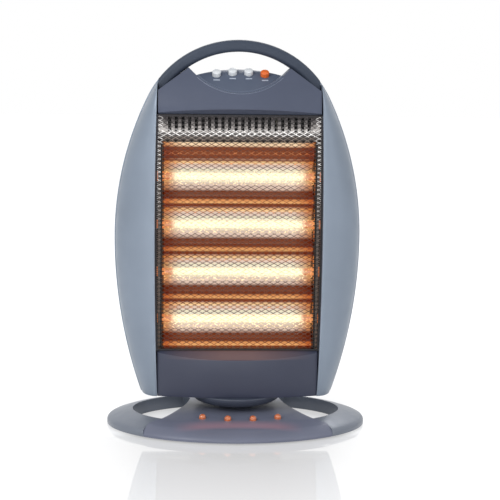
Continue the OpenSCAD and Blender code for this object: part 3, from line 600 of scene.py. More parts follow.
def core(inset, floor_z):
    """The bridge's form drawn in by a distance, from a floor upwards."""
    return dome("core", [(inset, inset, floor_z)] + [
        (side + inset, front + inset, z - inset) for side, front, z in COVER_RISE[2:]])


RING_W = 33.0
RING_RISE = [(0, 0, FOOT_H), (0, 0, 6.2)] + [
    (side * 36.5 / RING_W, side * 35 / RING_W, z) for side, z in (
        (0.5, 8.4), (2.0, 10.4), (5.0, 12.2), (10, 14.1), (17, 16.8), (25, 19.4), (31.5, 20.8),
        (RING_W, RING_Z))]
COVER_RISE = [(0, 0, FOOT_H), (0, 0, 4.6)] + smooth([
    (0.8, 0.8, 6.6), (3, 3, 9), (7, 8.6, 12.6), (12, 15.6, 16)], 4) + smooth([
    (13, 17, 16.5), (22, 25, 18.7), (34, 34, 21), (64, 46, 23), (88, 60, 24.8), (112, 74, 26),
    (134, 91, BRIDGE_Z)], 4)

ring = dome("ring", RING_RISE)
carve(ring, prism("cover", cover_plan(SEAT), -1, BASE_TOP))
for side in (-1, 1):
    carve(ring, ring_space(side))
PLATE_EDGE = oval(BASE_W / 2 - PLATE_INSET, BASE_D / 2 - PLATE_INSET)
pocket = prism("pocket", PLATE_EDGE, -1, 6)
carve(pocket, prism("land", oval(RING_IN_X + LAND, RING_IN_Y + LAND), -2, 8))
carve(ring, pocket)
rounded(ring, 0.9)

# The vault goes on under the bridge and closes the sides of both openings
vault = carve(core(COVER_T + SEAT, FOOT_H),
              prism("plan", cover_plan(SEAT + 0.05), -1, BASE_TOP), "INTERSECT")
hollow = carve(core(COVER_T + SEAT + WALL, -WALL),
               prism("plan", cover_plan(-WALL), -3, BASE_TOP), "INTERSECT")
carve(hollow, prism("plate_space", PLATE_EDGE, -1.5, 7.5), "UNION")
for side in (-1, 1):
    carve(vault, ring_space(side))
    carve(hollow, ring_space(side, WALL))
carve(vault, hollow)
carve(vault, hole("post_hole", POST_R + SEAT, -2, BASE_TOP + 1))
ring = joined("base_ring_shell", [ring, vault])
dress(ring, "base", BASE_LIGHT, "light_plastic", ["base_ring"])

bridge = dome("bridge_shell", COVER_RISE)
carve(bridge, prism("plan", cover_plan(0), -1, BASE_TOP), "INTERSECT")
carve(bridge, core(COVER_T, FOOT_H - 1))
carve(bridge, hole("post_hole", POST_R + SEAT, -1, BASE_TOP))


def lens_spots():
    """The places of the four lenses, in a shallow arc before the neck."""
    return [(LENS_X + k * LENS_PITCH, LENS_Y + LENS_BOW * k * k, BRIDGE_Z - LENS_DROP)
            for k in (-1.5, -0.5, 0.5, 1.5)]


def leant(obj, spot, angle):
    """Leans an upright piece about X and sets it on a place in millimetres."""
    obj.data.transform(Matrix.Translation(Vector(spot) / 1000) @ Matrix.Rotation(angle, 4, "X"))
    return obj


tilt = math.radians(LENS_TILT)
for spot in lens_spots():
    carve(bridge, leant(hole("lens_hole", LENS_R + SEAT, -9, 9, 40), spot, tilt))
rounded(bridge, 0.8)
dress(bridge, "base", BRIDGE, "dark_plastic", ["bridge_cover"], smooth=30)

amber = Finish("amber_lens")
amber.to("Base Color", amber.ramp(amber.noise(500, 1), tones([
    (0.3, (192, 92, 48)), (0.7, (216, 130, 82))])))
amber.to("Roughness", amber.span(amber.noise(80), 0.3, 0.7, 0.12, 0.2))
amber.to("Subsurface Weight", 0.15)
amber.to("Subsurface Radius", (0.004, 0.0015, 0.0006))
amber.to("Coat Weight", 0.6)
lens_profile = [(0, LENS_FOOT), (LENS_R, LENS_FOOT)] + [
    (LENS_R * math.cos(a), LENS_NECK + LENS_CROWN * math.sin(a)) for a in quarter(10)]
lenses = joined("indicator_lens_set", [
    leant(lathe("lens", lens_profile, 40), spot, tilt) for spot in lens_spots()])
dress(lenses, "base", amber.material, "amber_lens", ["indicator_lenses"])

collar_profile = [(NECK_R, HEAD_BOTTOM_Z - SEAT), (NECK_R, HEAD_BOTTOM_Z - BELLY_H)] + [
    (BELLY_R + BELLY_REACH * math.sin(a), HEAD_BOTTOM_Z - SEAT - BELLY_H * math.cos(a))
    for a in quarter(24)]
collar = loft("swivel_belly", [ellipse(r, r, z, 128) for r, z in collar_profile], closed=True)
rounded(collar, 0.8)
dress(collar, "head", DARK, "dark_plastic", ["swivel_collar"])


# Head covers

TIP_Z = CROWN_Z + math.sqrt(TOP_R ** 2 - (SEAM_X + 4) ** 2)
TOP_IN_Z = CROWN_Z + math.sqrt(TOP_R ** 2 - (SEAM_X + 9) ** 2)
GRIP_EDGE = 6.0
GRIP_FRONT_Y = -20.0
GRIP_BACK_Y = 14.0
REAR_SQUARE = 0.6
BACK_SHARE = 0.8
TROUGH_LIP_Y = 36.0
VENT_FOOTS = (150, 355)
VENT_MIDDLES = (-60, 0, 60)
VENT_ROWS = 7
VENT_PITCH = 9.0
VENT_H = 3.5
VENT_HALF_W = 26.0
GLAND_R = 5.6
GLAND_Z = 122.0


def box(name, low, high):
    """A block between two corners, as a cutter."""
    (x0, y0, z0), (x1, y1, z1) = low, high
    return prism(name, [(x0, y0), (x1, y0), (x1, y1), (x0, y1)], z0, z1)


def panel_ring(z, inset, steps=28):
    """Section of a side cover at a height; the one drawn in for the hollow is open to the rear."""
    inner = seam(z) + inset
    outer = side_x(z) - RIM_LIP - inset
    deep = edge_y(z) - PART_Y - inset
    back = 1 - PART_Y if inset else -PART_Y
    ring = [(inner + (outer - inner) * math.sin(a), -PART_Y - deep * math.cos(a), z)
            for a in quarter(steps)]
    if inset:
        ring.append((outer, back, z))
    return ring + [(inner, back, z)]


def mirrored(obj, side):
    if side < 0:
        obj.data.transform(Matrix.Scale(-1, 4, (1, 0, 0)))
        obj.data.flip_normals()
    return obj


for side, name in ((1, "right"), (-1, "left")):
    panel = loft("side_cover_" + name, [panel_ring(z, 0) for z in levels(HEAD_BOTTOM_Z, TIP_Z, 110)])
    rounded(panel, 1.3, segments=4)
    carve(panel, loft("core", [panel_ring(z, WALL, 16)
                               for z in levels(HEAD_BOTTOM_Z + WALL, TOP_IN_Z, 60)]))
    carve(panel, box("tube_room", (SEAM_X - 3, 3 - TROUGH_LIP_Y, GUARD_LOW_Z),
                     (SEAM_X + SEAM_BOW + WALL + 1, 3, GUARD_TOP_Z)))
    dress(mirrored(panel, side), "head", LIGHT, "light_plastic", ["side_panel_" + name])

section = []
outer_r, inner_r = TOP_R - GRIP_EDGE, GRIP_R + GRIP_EDGE
fore_y, aft_y = GRIP_FRONT_Y + GRIP_EDGE, GRIP_BACK_Y - GRIP_EDGE
for cx, cy, a0 in ((outer_r, fore_y, -90), (outer_r, aft_y, 0),
                   (inner_r, aft_y, 90), (inner_r, fore_y, 180)):
    section += arc(cx, cy, GRIP_EDGE, math.radians(a0), math.radians(a0 + 90), 10)
low_a = SEAM_A - math.radians(10)
grip = loft("carry_grip", [[(r * math.cos(a), y, CROWN_Z + r * math.sin(a)) for r, y in section]
                           for a in levels(low_a, math.pi - low_a, 136)])
end_a = SEAM_A + math.radians(0.2)
for side in (1, -1):
    beyond = ((SEAM_X - SEAT, CROWN_Z), (200, CROWN_Z), (200, 600), (SEAM_X - SEAT, 600))
    carve(grip, prism("seam", [(side * x, z) for x, z in beyond], -30, 20, "y"))
    carve(grip, prism("rear", [(0, CROWN_Z), (side * 300, CROWN_Z),
                               (side * 300 * math.cos(end_a), CROWN_Z + 300 * math.sin(end_a))],
                      -PART_Y - SEAT, 20, "y"))
rounded(grip, 0.8)
dress(grip, "head", HANDLE_DARK, "dark_plastic", ["handle"])


def crowned_ring(nose, half, z, back, steps=40):
    """Section of a front cover at a height: crowned towards its middle, flat at the back."""
    ring = [(u * half, -nose + CROWN * (u * half / SEAM_X) ** 2, z)
            for u in [i / steps * 2 - 1 for i in range(steps + 1)]]
    return ring + [(half, -back, z), (-half, -back, z)]


def ledge(crease_z, crease_y, guard_z, up):
    """The slope that leads back from a crease to the guard, as a cutter."""
    rise, run, far = crease_z - guard_z, crease_y - GUARD_Y + 2, 30
    outline = [(-crease_y - far, crease_z + rise / run * far), (2 - GUARD_Y, guard_z),
               (2 - GUARD_Y + 2 * far, guard_z), (2 - GUARD_Y + 2 * far, guard_z + up * 2 * far),
               (-crease_y - far, guard_z + up * 2 * far)]
    return prism("ledge", outline, -200, 200, "x")


def shoulder_outline(gap):
    """Front view of the top cover, drawn in by a gap."""
    tip_r = GRIP_R - SEAT
    return both([(SEAM_X - SEAT - gap, GUARD_TOP_Z - 20),
                 (SEAM_X - SEAT - gap, CROWN_Z + TOP_R * math.sin(SEAM_A) - SHOULDER_DROP - gap),
                 (tip_r * math.cos(TIP_A) - gap, CROWN_Z + tip_r * math.sin(TIP_A) - gap)]
                + crest(gap))


def top_block(inset):
    """The top cover's form drawn in by a distance, before its outline is cut."""
    low, high, half = GUARD_TOP_Z - 2, CROWN_Z + GRIP_R * math.sin(TIP_A) + 3, SEAM_X + 2
    back = PART_Y - 1 if inset else PART_Y
    return loft("top_cover", [crowned_ring(TOP_NOSE_Y - lean(z) - inset, half, z, back)
                              for z in levels(low, high, 40)])


def band(name, r0, r1, y0, y1):
    """The space of the handle's band, as a cutter."""
    return loft(name, [[(r * math.cos(a), y, CROWN_Z + r * math.sin(a))
                        for r, y in ((r0, y0), (r1, y0), (r1, y1), (r0, y1))]
                       for a in turn(180)], closed=True)


top = carve(top_block(0), prism("outline", shoulder_outline(0), -80, 1, "y"), "INTERSECT")
hollow = carve(top_block(WALL), prism("outline", shoulder_outline(WALL), -80, 3, "y"), "INTERSECT")
raised = ledge(TOP_CREASE_Z, TOP_NOSE_Y, GUARD_TOP_Z, -1)
raised.data.transform(Matrix.Translation((0, 0, WALL / 1000)))
carve(top, carve(hollow, raised))
carve(top, ledge(TOP_CREASE_Z, TOP_NOSE_Y, GUARD_TOP_Z, -1))
carve(top, prism("eye", eye_outline(SEAT, 1), -80, 3, "y"))
carve(top, band("band", GRIP_R - SEAT, TOP_R + 2, GRIP_FRONT_Y - SEAT, GRIP_BACK_Y - SEAT))
rounded(top, 1.6, segments=4)
dress(top, "head", SLATE, "slate_plastic", ["top_panel"], smooth=28)

# A thin bead along the lower edge of the control panel's opening, in a lighter colour as a painted
# highlight on that edge
BEAD_R = 0.6
BEAD_OUT = 1.3
bead = []
for a in levels(-math.pi / 2 - EYE_A + 0.02, EYE_A - math.pi / 2 - 0.02, 72):
    out_x, out_z = math.cos(a), math.sin(a)
    x, z = (EYE_R + BEAD_OUT) * out_x, EYE_LOW_Z + EYE_R + (EYE_R + BEAD_OUT) * out_z
    y = lean(z) - TOP_NOSE_Y + CROWN * (x / SEAM_X) ** 2
    bead.append([(x + BEAD_R * math.cos(b) * out_x, y + BEAD_R * math.sin(b),
                  z + BEAD_R * math.cos(b) * out_z) for b in turn(10)])
dress(loft("fascia_rim", bead), "head", RIM_HIGHLIGHT, "slate_plastic")


def on_slope(x, climb, out):
    """A place on the sloped control panel, from its foot."""
    c, s = math.cos(EYE_SLOPE), math.sin(EYE_SLOPE)
    return (x, -EYE_LOW_Y + climb * c - out * s, EYE_LOW_Z + climb * s + out * c)


def slab(name, x0, x1, climb0, climb1, out0, out1):
    """A block that lies along the slope."""
    corners = [(x, c) for x, c in ((x0, climb0), (x1, climb0), (x1, climb1), (x0, climb1))]
    vertices = [on_slope(x, c, out) for out in (out0, out1) for x, c in corners]
    return new_object(name, vertices, [(0, 1, 2, 3), (4, 5, 6, 7)] + [
        (i, (i + 1) % 4, 4 + (i + 1) % 4, 4 + i) for i in range(4)])


BUTTON_R = 6.0
BUTTON_H = 7.0
BUTTON_PITCH = 22.3
BUTTON_TRAVEL = 3.0
BUTTON_X = 1.5
BUTTON_CLIMB = 45.5
BUTTON_BOW = 3.6
BUTTON_EDGE = 1.4
BUTTON_PILLOW = 0.7
DASH_CLIMB = 13.2
DASH_HALF = 4.5
DASH_H = 2.4
PANEL_T = 3.0
TUB_T = 2.0
TUB_EDGE = 1.3
TUB_INSET = 1.2
TUB_TOP = 530.0


def button_spot(i):
    """Place of a button on the slope, in a shallow arc: across and up."""
    k = i - 2.5
    return BUTTON_X + k * BUTTON_PITCH, BUTTON_CLIMB - (abs(k) - 0.5) * BUTTON_BOW


def placed_on_slope(obj, i):
    """Sets an upright piece on the place of a button."""
    x, climb = button_spot(i)
    return leant(obj, on_slope(x, climb, 0), EYE_SLOPE)


eye = prism("fascia_plate", eye_outline(0), -64, -PART_Y, "y")
carve(eye, slab("slab", -70, 70, -20, 100, -PANEL_T, 0), "INTERSECT")
for i in range(1, 5):
    carve(eye, placed_on_slope(hole("hole", BUTTON_R + 0.3, -20, 20, 48), i))

# The wall round the recess, up to just under the top cover's face
tub = prism("tub", eye_outline(0), -70, -PART_Y - 1, "y")
bore = both(eye_arc(-TUB_T) + [(EYE_HALF_W - TUB_EDGE, TUB_TOP), (0, TUB_TOP)])
carve(tub, prism("tub_bore", bore, -80, 1, "y"))
carve(tub, top_block(TUB_INSET), "INTERSECT")
carve(tub, slab("above", -70, 70, -40, 120, -PANEL_T, 90), "INTERSECT")
dress(joined("control_fascia", [eye, tub]), "head", EYE_SLATE, "slate_plastic", ["control_panel"])

# A turned key with a rounded edge and a slightly pillowed face
flat_r, edge_z = BUTTON_R - BUTTON_EDGE, BUTTON_H - BUTTON_PILLOW
key_foot = -BUTTON_TRAVEL - PANEL_T
profile = [(0, key_foot), (BUTTON_R, key_foot)]
profile += [(flat_r + BUTTON_EDGE * math.cos(a), edge_z - BUTTON_EDGE + BUTTON_EDGE * math.sin(a))
            for a in quarter(6)]
profile += [(flat_r * (1 - t), edge_z + BUTTON_PILLOW * (1 - (1 - t) ** 2)) for t in (0.25, 0.5, 0.75, 1)]
KEY_LOOKS = [("button_white", BUTTON_WHITE)] * 3 + [("button_orange", BUTTON_ORANGE)]
for i, (slot, material) in enumerate(KEY_LOOKS, 1):
    key = placed_on_slope(lathe("push_button_%d" % i, profile, 48), i)
    dress(key, "button_%d" % i, material, slot, ["button_%d" % i])

dashes = []
for i in range(1, 5):
    x, climb = button_spot(i)
    foot = climb - DASH_CLIMB
    dash = slab("dash", x - DASH_HALF, x + DASH_HALF, foot, foot + DASH_H, -0.1, 0.25)
    dashes.append(rounded(dash, 0.08, 2))
dress(joined("switch_legend", dashes), "head", LEGEND, "slate_plastic")

lower = loft("lower_cover", [crowned_ring(LOW_NOSE_Y - tuck(z), SEAM_X - SEAT, z, PART_Y)
                             for z in levels(HEAD_BOTTOM_Z, GUARD_LOW_Z + 2, 24)])
hollow = loft("hollow", [crowned_ring(LOW_NOSE_Y - tuck(z) - WALL, SEAM_X - SEAT - WALL, z, PART_Y - 1)
                         for z in levels(HEAD_BOTTOM_Z + WALL, GUARD_LOW_Z + 2 - WALL, 24)])
sunk = ledge(LOW_CREASE_Z, LOW_NOSE_Y, GUARD_LOW_Z, 1)
sunk.data.transform(Matrix.Translation((0, 0, -WALL / 1000)))
carve(lower, carve(hollow, sunk))
carve(lower, ledge(LOW_CREASE_Z, LOW_NOSE_Y, GUARD_LOW_Z, 1))
carve(lower, hole("neck_hole", NECK_R, 40, 62))
rounded(lower, 1.1)
dress(lower, "head", LOW_SLATE, "dark_plastic", ["lower_panel"], smooth=28)


def rear_outline():
    """Front view of the rear cover."""
    low_a = math.asin((WIDEST_Z - HEAD_BOTTOM_Z) / LOW_SIDE_R)
    return both(arc(HEAD_HALF - LOW_SIDE_R, WIDEST_Z, LOW_SIDE_R, -low_a, 0, 36)
                + arc(HEAD_HALF - SIDE_R, WIDEST_Z, SIDE_R, JOIN_A / 24, JOIN_A, 23)
                + arc(0, CROWN_Z, TOP_R, JOIN_A + 0.04, SEAM_A, 16)
                + arc(0, CROWN_Z, GRIP_R - SEAT, SEAM_A, TIP_A, 14) + crest())


def rear_ring(a, inset, push=0.0):
    """The rear cover's outline at an angle from its rim, 0, to its back, a quarter turn."""
    share = (BACK_SHARE + (1 - BACK_SHARE) * math.cos(a) ** REAR_SQUARE) * (1 - inset / HEAD_HALF)
    y = -PART_Y + (BACK_Y + PART_Y - inset) * math.sin(a) - push
    return [(x * share, y, WIDEST_Z + (z - WIDEST_Z) * share) for x, z in rear_outline()]


REAR_ANGLES = (89.99, 88, 86, 84, 81, 78, 74, 70, 65, 60, 54, 47, 40, 33, 26, 19, 13, 7, 0)


def rear_block(inset):
    """The rear cover's form drawn in by a distance; the one for the hollow reaches past its rim."""
    rings = [rear_ring(math.radians(a), inset) for a in REAR_ANGLES]
    return loft("rear_cover", rings + ([rear_ring(0, inset, 1)] if inset else []))


rear = carve(rear_block(0), rear_block(WALL))
carve(rear, hole("neck_hole", NECK_R, 40, 61))
carve(rear, loft("gland_hole", [[(GLAND_R * math.cos(a), y, GLAND_Z + GLAND_R * math.sin(a))
                                 for a in turn(48)] for y in (0, 70)]))
rounded(rear, 0.8)
for foot in VENT_FOOTS:
    for low_z in [foot + row * VENT_PITCH for row in range(VENT_ROWS)]:
        for x in VENT_MIDDLES:
            carve(rear, box("vent", (x - VENT_HALF_W, BACK_Y - 8, low_z),
                            (x + VENT_HALF_W, BACK_Y + 12, low_z + VENT_H)))
dress(rear, "head", LIGHT, "light_plastic", ["rear_shell"], smooth=30)

# Painted shade: the inside of the rear cover is given black, so that its vents look dark
rear.data.materials.append(BLACK)
for face in rear.data.polygons:
    inward = face.normal.dot(face.center - Vector((0, 0, WIDEST_Z / 1000))) < 0
    if inward and face.center.y > -PART_Y / 1000 + 0.0005:
        face.material_index = 1


# Heating box

TUBE_N = 4
TUBE_LOW_Z = 156.0
TUBE_PITCH = 67.0
TUBE_R = 5.0
TUBE_BORE = 4.0
TUBE_LEN = 206.0
TUBE_Y = 24.0
CAP_R = 6.5
CAP_LEN = 14.0
BOX_HALF_W = 106.0
BOX_LOW_Z = 116.0
BOX_TOP_Z = 406.0
SHEET_T = 0.8
TROUGH_BED_Y = 6.0
TROUGH_HALF = 26.0
TROUGH_T = 1.6
GUARD_T = 1.4
GUARD_EDGE = 2.5
COIL_R = 1.0
COIL_WAVE = 0.2
COIL_STEPS = 260


def tube_z(k):
    return TUBE_LOW_Z + (k - 1) * TUBE_PITCH


def trough(z0, n=40):
    """Section of the reflector's trough behind a tube."""
    return [(-TROUGH_BED_Y - (TROUGH_LIP_Y - TROUGH_BED_Y) * (1 - math.cos(math.pi / 2 * u) ** 0.75),
             z0 + u * TROUGH_HALF) for u in [2 * i / n - 1 for i in range(n + 1)]]


line = [(-TROUGH_LIP_Y, BOX_LOW_Z + SHEET_T)]
for k in range(1, TUBE_N + 1):
    line += trough(tube_z(k))
line.append((-TROUGH_LIP_Y, BOX_TOP_Z - SHEET_T))
skin = line + [(y + TROUGH_T, z) for y, z in reversed(line)]
mirror_sheet = loft("reflector_troughs", [
    [(x, y, z) for y, z in skin] for x in (-BOX_HALF_W, BOX_HALF_W)])


def round_tubes(kit, stops):
    """Colours by the height over a tube: 0 at one tube, 1 at the next above."""
    over = kit.math("MODULO", kit.math("SUBTRACT", kit.axes()["Z"], (TUBE_LOW_Z - TUBE_PITCH) / 1000),
                    TUBE_PITCH / 1000)
    return kit.span(over, 0, TUBE_PITCH / 1000, 0, 1), tones(stops)


def ring_at(x, r, z, n=40):
    """A circle round a tube's axis."""
    return [(x, r * math.cos(a) - TUBE_Y, z + r * math.sin(a)) for a in turn(n)]


# Painted reflection: the reflector's emission paints the glow of the tubes as bands which repeat with them;
# its base colour is kept dark as a painted stand-in for the dark surroundings it reflects
warm = Finish("reflector_sheet")
streak = warm.noise(60, 3, warm.stretched((0.12, 1, 5)))
over, bands = round_tubes(warm, [
    (0.0, (255, 250, 226)), (0.135, (255, 244, 212)), (0.165, (238, 214, 198)), (0.25, (232, 204, 184)),
    (0.28, (255, 214, 156)), (0.33, (240, 180, 116)), (0.36, (136, 62, 30)), (0.44, (122, 50, 22)),
    (0.47, (244, 182, 116)), (0.53, (226, 148, 88)), (0.56, (116, 48, 20)), (0.69, (118, 52, 26)),
    (0.74, (232, 204, 184)), (0.84, (238, 214, 198)), (0.865, (255, 244, 212)), (1.0, (255, 250, 226))])
wander = warm.math("ADD", over, warm.span(streak, 0, 1, -0.02, 0.02))
glow = warm.ramp(wander, bands)
height = warm.axes()["Z"]
# Painted shade over the band below the box's top, and a painted highlight on its top lip
glow = warm.mix(warm.span(height, 0.3775, 0.3795, 0, 1), glow, linear((128, 62, 34)))
glow = warm.mix(warm.span(height, 0.3985, 0.401, 0, 1), glow, linear((252, 220, 180)))
# The painted glow turns orange towards the tubes' ends, and painted shade darkens it at the box's sides
across = warm.sides()
reflected_glow = warm.mix(warm.span(across, 0.078, 0.1, 0, 1), glow, (0.66, 0.36, 0.2, 1), "MULTIPLY")
inside = warm.span(across, 0.1035, 0.105, 1.0, 0.12)
warm.to("Base Color", warm.ramp(streak, tones([(0.3, (34, 24, 20)), (0.7, (44, 32, 26))])))
warm.to("Metallic", 1.0)
warm.to("Roughness", warm.span(streak, 0.3, 0.7, 0.2, 0.32))
warm.to("Emission Color", reflected_glow)
warm.to("Emission Strength", warm.times(inside, warm.span(streak, 0.3, 0.7, 0.75, 1.0)))
warm.bump(streak, 0.0002, 0.3)

# Painted light and shade on the end plates: emission paints the same glow on their front edges, and their
# base colour is painted dark as shade nearest the troughs
end = Finish("end_sheet")
end.to("Base Color", end.ramp(end.span(end.sides(), 0.106, 0.114, 0, 1), tones([
    (0.3, (18, 15, 14)), (0.4, (84, 76, 72))])))
end.to("Metallic", 0.6)
end.to("Roughness", end.span(end.noise(200, 3), 0.3, 0.7, 0.3, 0.42))
end.to("Emission Color", end.ramp(*round_tubes(end, [
    (0.0, (236, 168, 92)), (0.14, (200, 104, 46)), (0.3, (206, 116, 54)), (0.4, (132, 58, 24)),
    (0.5, (164, 82, 38)), (0.6, (126, 54, 22)), (0.86, (200, 104, 46)), (1.0, (236, 168, 92))])))
end.to("Emission Strength", end.span(end.axes()["Y"], -0.0362, -0.0352, 0, 0.8))
END_SHEET = end.material
dress(mirror_sheet, "head", warm.material, "bright_sheet", ["reflector"], smooth=30)

CAP_PROFILE = [(0, CAP_R - 0.6), (0.6, CAP_R), (3, CAP_R), (3.6, CAP_R - 0.5), (5, CAP_R - 0.5),
               (5.6, CAP_R), (CAP_LEN - 0.6, CAP_R), (CAP_LEN, CAP_R - 0.6)]
half = TUBE_LEN / 2
for k in range(1, TUBE_N + 1):
    z = tube_z(k)
    glass = loft("quartz_glass_%d" % k, [ring_at(x, r, z) for x, r in (
        (-half, TUBE_R), (half, TUBE_R), (half, TUBE_BORE), (-half, TUBE_BORE))], closed=True)
    dress(glass, "head", QUARTZ, "quartz", ["quartz_tube_%d" % k])
    coil = loft("heating_wire_%d" % k, [ring_at(x, COIL_R + COIL_WAVE * (i % 2), z, 8)
                                        for i, x in enumerate(levels(-half, half, COIL_STEPS))])
    dress(coil, "head", TUNGSTEN, "tungsten", ["filament_%d" % k])
    caps = [loft("cap", [ring_at(side * (half + x), r, z) for x, r in CAP_PROFILE]) for side in (-1, 1)]
    dress(joined("ceramic_caps_%d" % k, caps), "head", LIT_CERAMIC, "ceramic", ["tube_caps_%d" % k])


# Guard of expanded sheet: zigzag strands which meet at the knots

CELL_W = 11.0
CELL_H = 5.9
STRAND_H = 0.9
STRAND_D = 1.1
KNOT_GAP = 0.1
STRAND_TILT = 0.35

low_z = GUARD_LOW_Z + SEAT + GUARD_EDGE
high_z = GUARD_TOP_Z - SEAT - GUARD_EDGE
rows = int((high_z - low_z) / (CELL_H / 2))
vertices, faces = [], []
for row in range(rows):
    mid = low_z + (row + 0.5) * (high_z - low_z) / rows
    reach = seam(mid) - SEAT - GUARD_EDGE
    knots = [k * CELL_W / 2 for k in range(-21, 22) if abs(k) * CELL_W / 2 < reach]
    xs = [-reach] + knots + [reach]
    start = len(vertices)
    for x in xs:
        t = x / CELL_W + row / 2
        wave = 4 * abs(t - math.floor(t + 0.5)) - 1
        z = mid + wave * (CELL_H / 4 - KNOT_GAP)
        y = -GUARD_Y + 1.5 * GUARD_T + STRAND_TILT * wave
        vertices += [(x, y + STRAND_D / 2 * v, z + STRAND_H / 2 * w)
                     for v, w in ((-1, -1), (1, -1), (1, 1), (-1, 1))]
    for i in range(len(xs) - 1):
        a = start + 4 * i
        faces += [(a + j, a + (j + 1) % 4, a + 4 + (j + 1) % 4, a + 4 + j) for j in range(4)]
    last = start + 4 * (len(xs) - 1)
    faces += [tuple(range(start, start + 4)), tuple(range(last, last + 4))]
net = new_object("expanded_guard", vertices, faces)

# Painted light on the guard: its colour and emission paint the glow of what lies behind it, tubes and
# bands, and above them the slotted plate
wire = Finish("chrome_guard")
height = wire.axes()["Z"]
outward = wire.sides()
# Painted glints: this noise makes lighter and darker flecks on the strands
glint = wire.noise(420, 2)
by_tube = wire.ramp(*round_tubes(wire, [
    (0.0, (250, 232, 192)), (0.135, (226, 200, 160)), (0.165, (100, 78, 74)), (0.25, (92, 68, 62)),
    (0.29, (184, 116, 66)), (0.34, (88, 40, 20)), (0.45, (84, 38, 18)), (0.5, (164, 98, 54)),
    (0.56, (80, 36, 18)), (0.7, (82, 38, 20)), (0.75, (92, 68, 62)), (0.84, (100, 78, 74)),
    (0.865, (226, 200, 160)), (1.0, (250, 232, 192))]))
# The painted glow turns orange towards the tubes' ends
by_tube = wire.mix(wire.span(outward, 0.088, 0.098, 0, 1), by_tube, (0.8, 0.46, 0.24, 1), "MULTIPLY")
# Over the slotted plate: painted shade over the slots and under the cover, and a painted bright band below
# the slots
by_plate = wire.ramp(wire.span(height, 0.404, 0.444, 0, 1), tones([
    (0.06, (30, 26, 24)), (0.1, (118, 104, 94)), (0.24, (124, 114, 106)), (0.28, (240, 237, 234)),
    (0.42, (240, 237, 234)), (0.5, (120, 116, 115)), (0.62, (40, 38, 39)), (1.0, (26, 25, 27))]))
front = wire.mix(wire.span(height, 0.4035, 0.4045, 0, 1), by_tube, by_plate)
# Beside the box: painted light, darker low down and bright near the top
edge_tone = wire.ramp(wire.span(height, 0.114, 0.444, 0, 1), tones([
    (0.0, (84, 66, 54)), (0.5, (106, 92, 84)), (0.8, (216, 213, 210))]))
beside = wire.mix(wire.span(outward, 0.1045, 0.1065, 0, 1), front, edge_tone)
# Painted shade: dark lines where the guard lies over the box's sides, below the slotted plate
shadow = wire.times(wire.span(height, 0.4035, 0.4045, 1, 0), wire.times(
    wire.span(outward, 0.103, 0.104, 0, 1), wire.span(outward, 0.108, 0.109, 1, 0)))
tone = wire.mix(shadow, beside, linear((24, 18, 16)))
dim = wire.mix(wire.span(glint, 0.42, 0.56, 0.4, 0), tone, linear((44, 34, 30)))
dim = wire.mix(wire.span(glint, 0.56, 0.62, 0, 0.4), dim, (2.2, 2.2, 2.2, 1), "MULTIPLY")
wire.to("Base Color", dim)
wire.to("Roughness", wire.span(glint, 0.3, 0.7, 0.35, 0.5))
wire.to("Specular IOR Level", 0.25)
wire.to("Emission Color", dim)
wire.to("Emission Strength", 0.35)
dress(net, "head", wire.material, "chrome_guard", ["guard_mesh"], smooth=20)


# Pieces that keep their solids

CAD_FINISH = {
    "base_plate": BLACK, "rubber_feet": RUBBER, "base_screws": ZINC_SCREW, "neck_post": DARK,
    "yoke_arm": ZINC_SHEET, "yoke_nut": ZINC_SCREW, "tip_switch": BLACK, "tip_plunger": NYLON,
    "bearing_washer": NYLON, "swivel_plate": ZINC_SHEET, "cord_gland": RUBBER, "cover_screws": ZINC_SCREW,
    "guard_frame": FRAME_STEEL, "slotted_plate": SLOTTED, "end_plate_left": END_SHEET,
    "end_plate_right": END_SHEET, "heat_shield": ZINC_SHEET, "tube_clips": ZINC_SHEET,
    "switch_block": NYLON, "motor": MOTOR_STEEL, "motor_bracket": ZINC_SHEET, "crank": NYLON,
    "terminal_block": CERAMIC, "thermal_cutout": BLACK, "wire_loom": SLEEVING,
}
for node, material in CAD_FINISH.items():
    mesh = NODES[node].data
    mesh.materials.clear()
    mesh.materials.append(material)


# Studio

CAMERA_AT = 2.08
CAMERA_HEIGHT = 0.54
CAMERA_AZIMUTH = math.radians(-2.4)
FOCAL = 106.4
AIM = Vector((0.0182, 0.0, 0.2503))
ROLL = math.radians(0.65)

FLOOR_HALF = 9000.0
floor = new_object("studio_floor", [(x * FLOOR_HALF, y * FLOOR_HALF, 0)
                                    for x, y in ((-1, -1), (1, -1), (1, 1), (-1, 1))], [(0, 1, 2, 3)])

# White paper: what the camera sees of it is lit on its own, what it throws back is not
paper = Finish("paper")
spot = paper.axes()
reach = paper.math("SQRT", paper.math("ADD", paper.math("POWER", spot["X"], 2.0),
                                      paper.math("POWER", spot["Y"], 2.0)))
ray = paper.add("LightPath").outputs
seen = paper.math("MAXIMUM", ray["Is Camera Ray"],
                  paper.math("MAXIMUM", ray["Is Glossy Ray"], ray["Is Transmission Ray"]))
tone = paper.span(paper.noise(0.6), 0.3, 0.7, 0.8, 0.84)
tone = paper.times(tone, paper.span(seen, 0, 1, 1, 0.45))
paper.to("Base Color", paper.add("CombineXYZ", X=tone, Y=tone, Z=tone).outputs["Vector"])
paper.to("Roughness", 0.5)
paper.to("Coat Weight", 1.0)
paper.to("Coat Roughness", 0.03)
paper.to("Emission Color", (1, 1, 1, 1))
# Painted light: more emission on the floor under and beside the base lightens its shadow there; painted
# shade: less emission near the object than far off
shadow_lift = paper.times(paper.span(spot["Y"], -0.085, -0.06, 0, 0.24), paper.span(spot["Y"], 0.08, 0.11, 1, 0))
paper.to("Emission Strength", paper.times(seen, paper.math(
    "ADD", shadow_lift, paper.span(reach, 0.1, 0.8, 0.5, 0.9))))
floor.data.materials.append(paper.material)

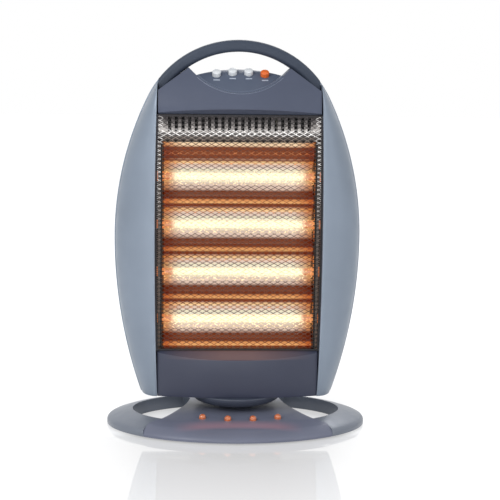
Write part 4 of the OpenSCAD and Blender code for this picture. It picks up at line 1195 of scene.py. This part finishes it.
# The room round the paper: white where it is seen, dimmer for its light
world = bpy.data.worlds.new("studio")
bpy.context.scene.world = world
world.use_nodes = True
sky = world.node_tree
dim_sky = sky.nodes["Background"]
dim_sky.inputs["Color"].default_value = (0.86, 0.88, 0.92, 1)
dim_sky.inputs["Strength"].default_value = 0.62
white = sky.nodes.new("ShaderNodeBackground")
white.inputs["Color"].default_value = (1, 1, 1, 1)
mix = sky.nodes.new("ShaderNodeMixShader")
path = sky.nodes.new("ShaderNodeLightPath").outputs
bent, direct = (sky.nodes.new("ShaderNodeMath") for _ in range(2))
for node, first, second in ((bent, path["Is Glossy Ray"], path["Is Transmission Ray"]),
                            (direct, path["Is Camera Ray"], bent.outputs[0])):
    node.operation = "MAXIMUM"
    sky.links.new(first, node.inputs[0])
    sky.links.new(second, node.inputs[1])
sky.links.new(direct.outputs[0], mix.inputs["Fac"])
sky.links.new(dim_sky.outputs["Background"], mix.inputs[1])
sky.links.new(white.outputs["Background"], mix.inputs[2])
sky.links.new(mix.outputs["Shader"], sky.nodes["World Output"].inputs["Surface"])


def lamp(name, spot, aim, size, power):
    """A soft rectangular lamp turned towards a point."""
    light = bpy.data.lights.new(name, "AREA")
    light.shape = "RECTANGLE"
    light.size, light.size_y = size
    light.energy = power
    obj = linked(name, light)
    obj.location = spot
    obj.rotation_euler = (Vector(aim) - Vector(spot)).to_track_quat("-Z", "Y").to_euler()


lamp("key", (-1.7, -2.2, 2.0), (0, 0, 0.25), (1.4, 1.4), 40)
lamp("fill", (1.9, -1.6, 1.4), (0, 0, 0.25), (1.2, 1.6), 9)
lamp("front", (-0.2, -2.6, 0.5), (0, 0, 0.15), (1.6, 0.5), 10)
lamp("rear", (0.3, 1.8, 2.0), (0, 0, 0.3), (1.6, 1.0), 24)

camera = bpy.data.cameras.new("camera")
camera.lens = FOCAL
camera.sensor_width = 36
view = linked("camera", camera)
view.location = (CAMERA_AT * math.sin(CAMERA_AZIMUTH), -CAMERA_AT * math.cos(CAMERA_AZIMUTH),
                 CAMERA_HEIGHT)
gaze = (AIM - view.location).to_track_quat("-Z", "Y").to_matrix()
view.rotation_euler = (gaze @ Matrix.Rotation(ROLL, 3, "Z")).to_euler()
bpy.context.scene.camera = view
bpy.context.scene.view_settings.view_transform = "Standard"
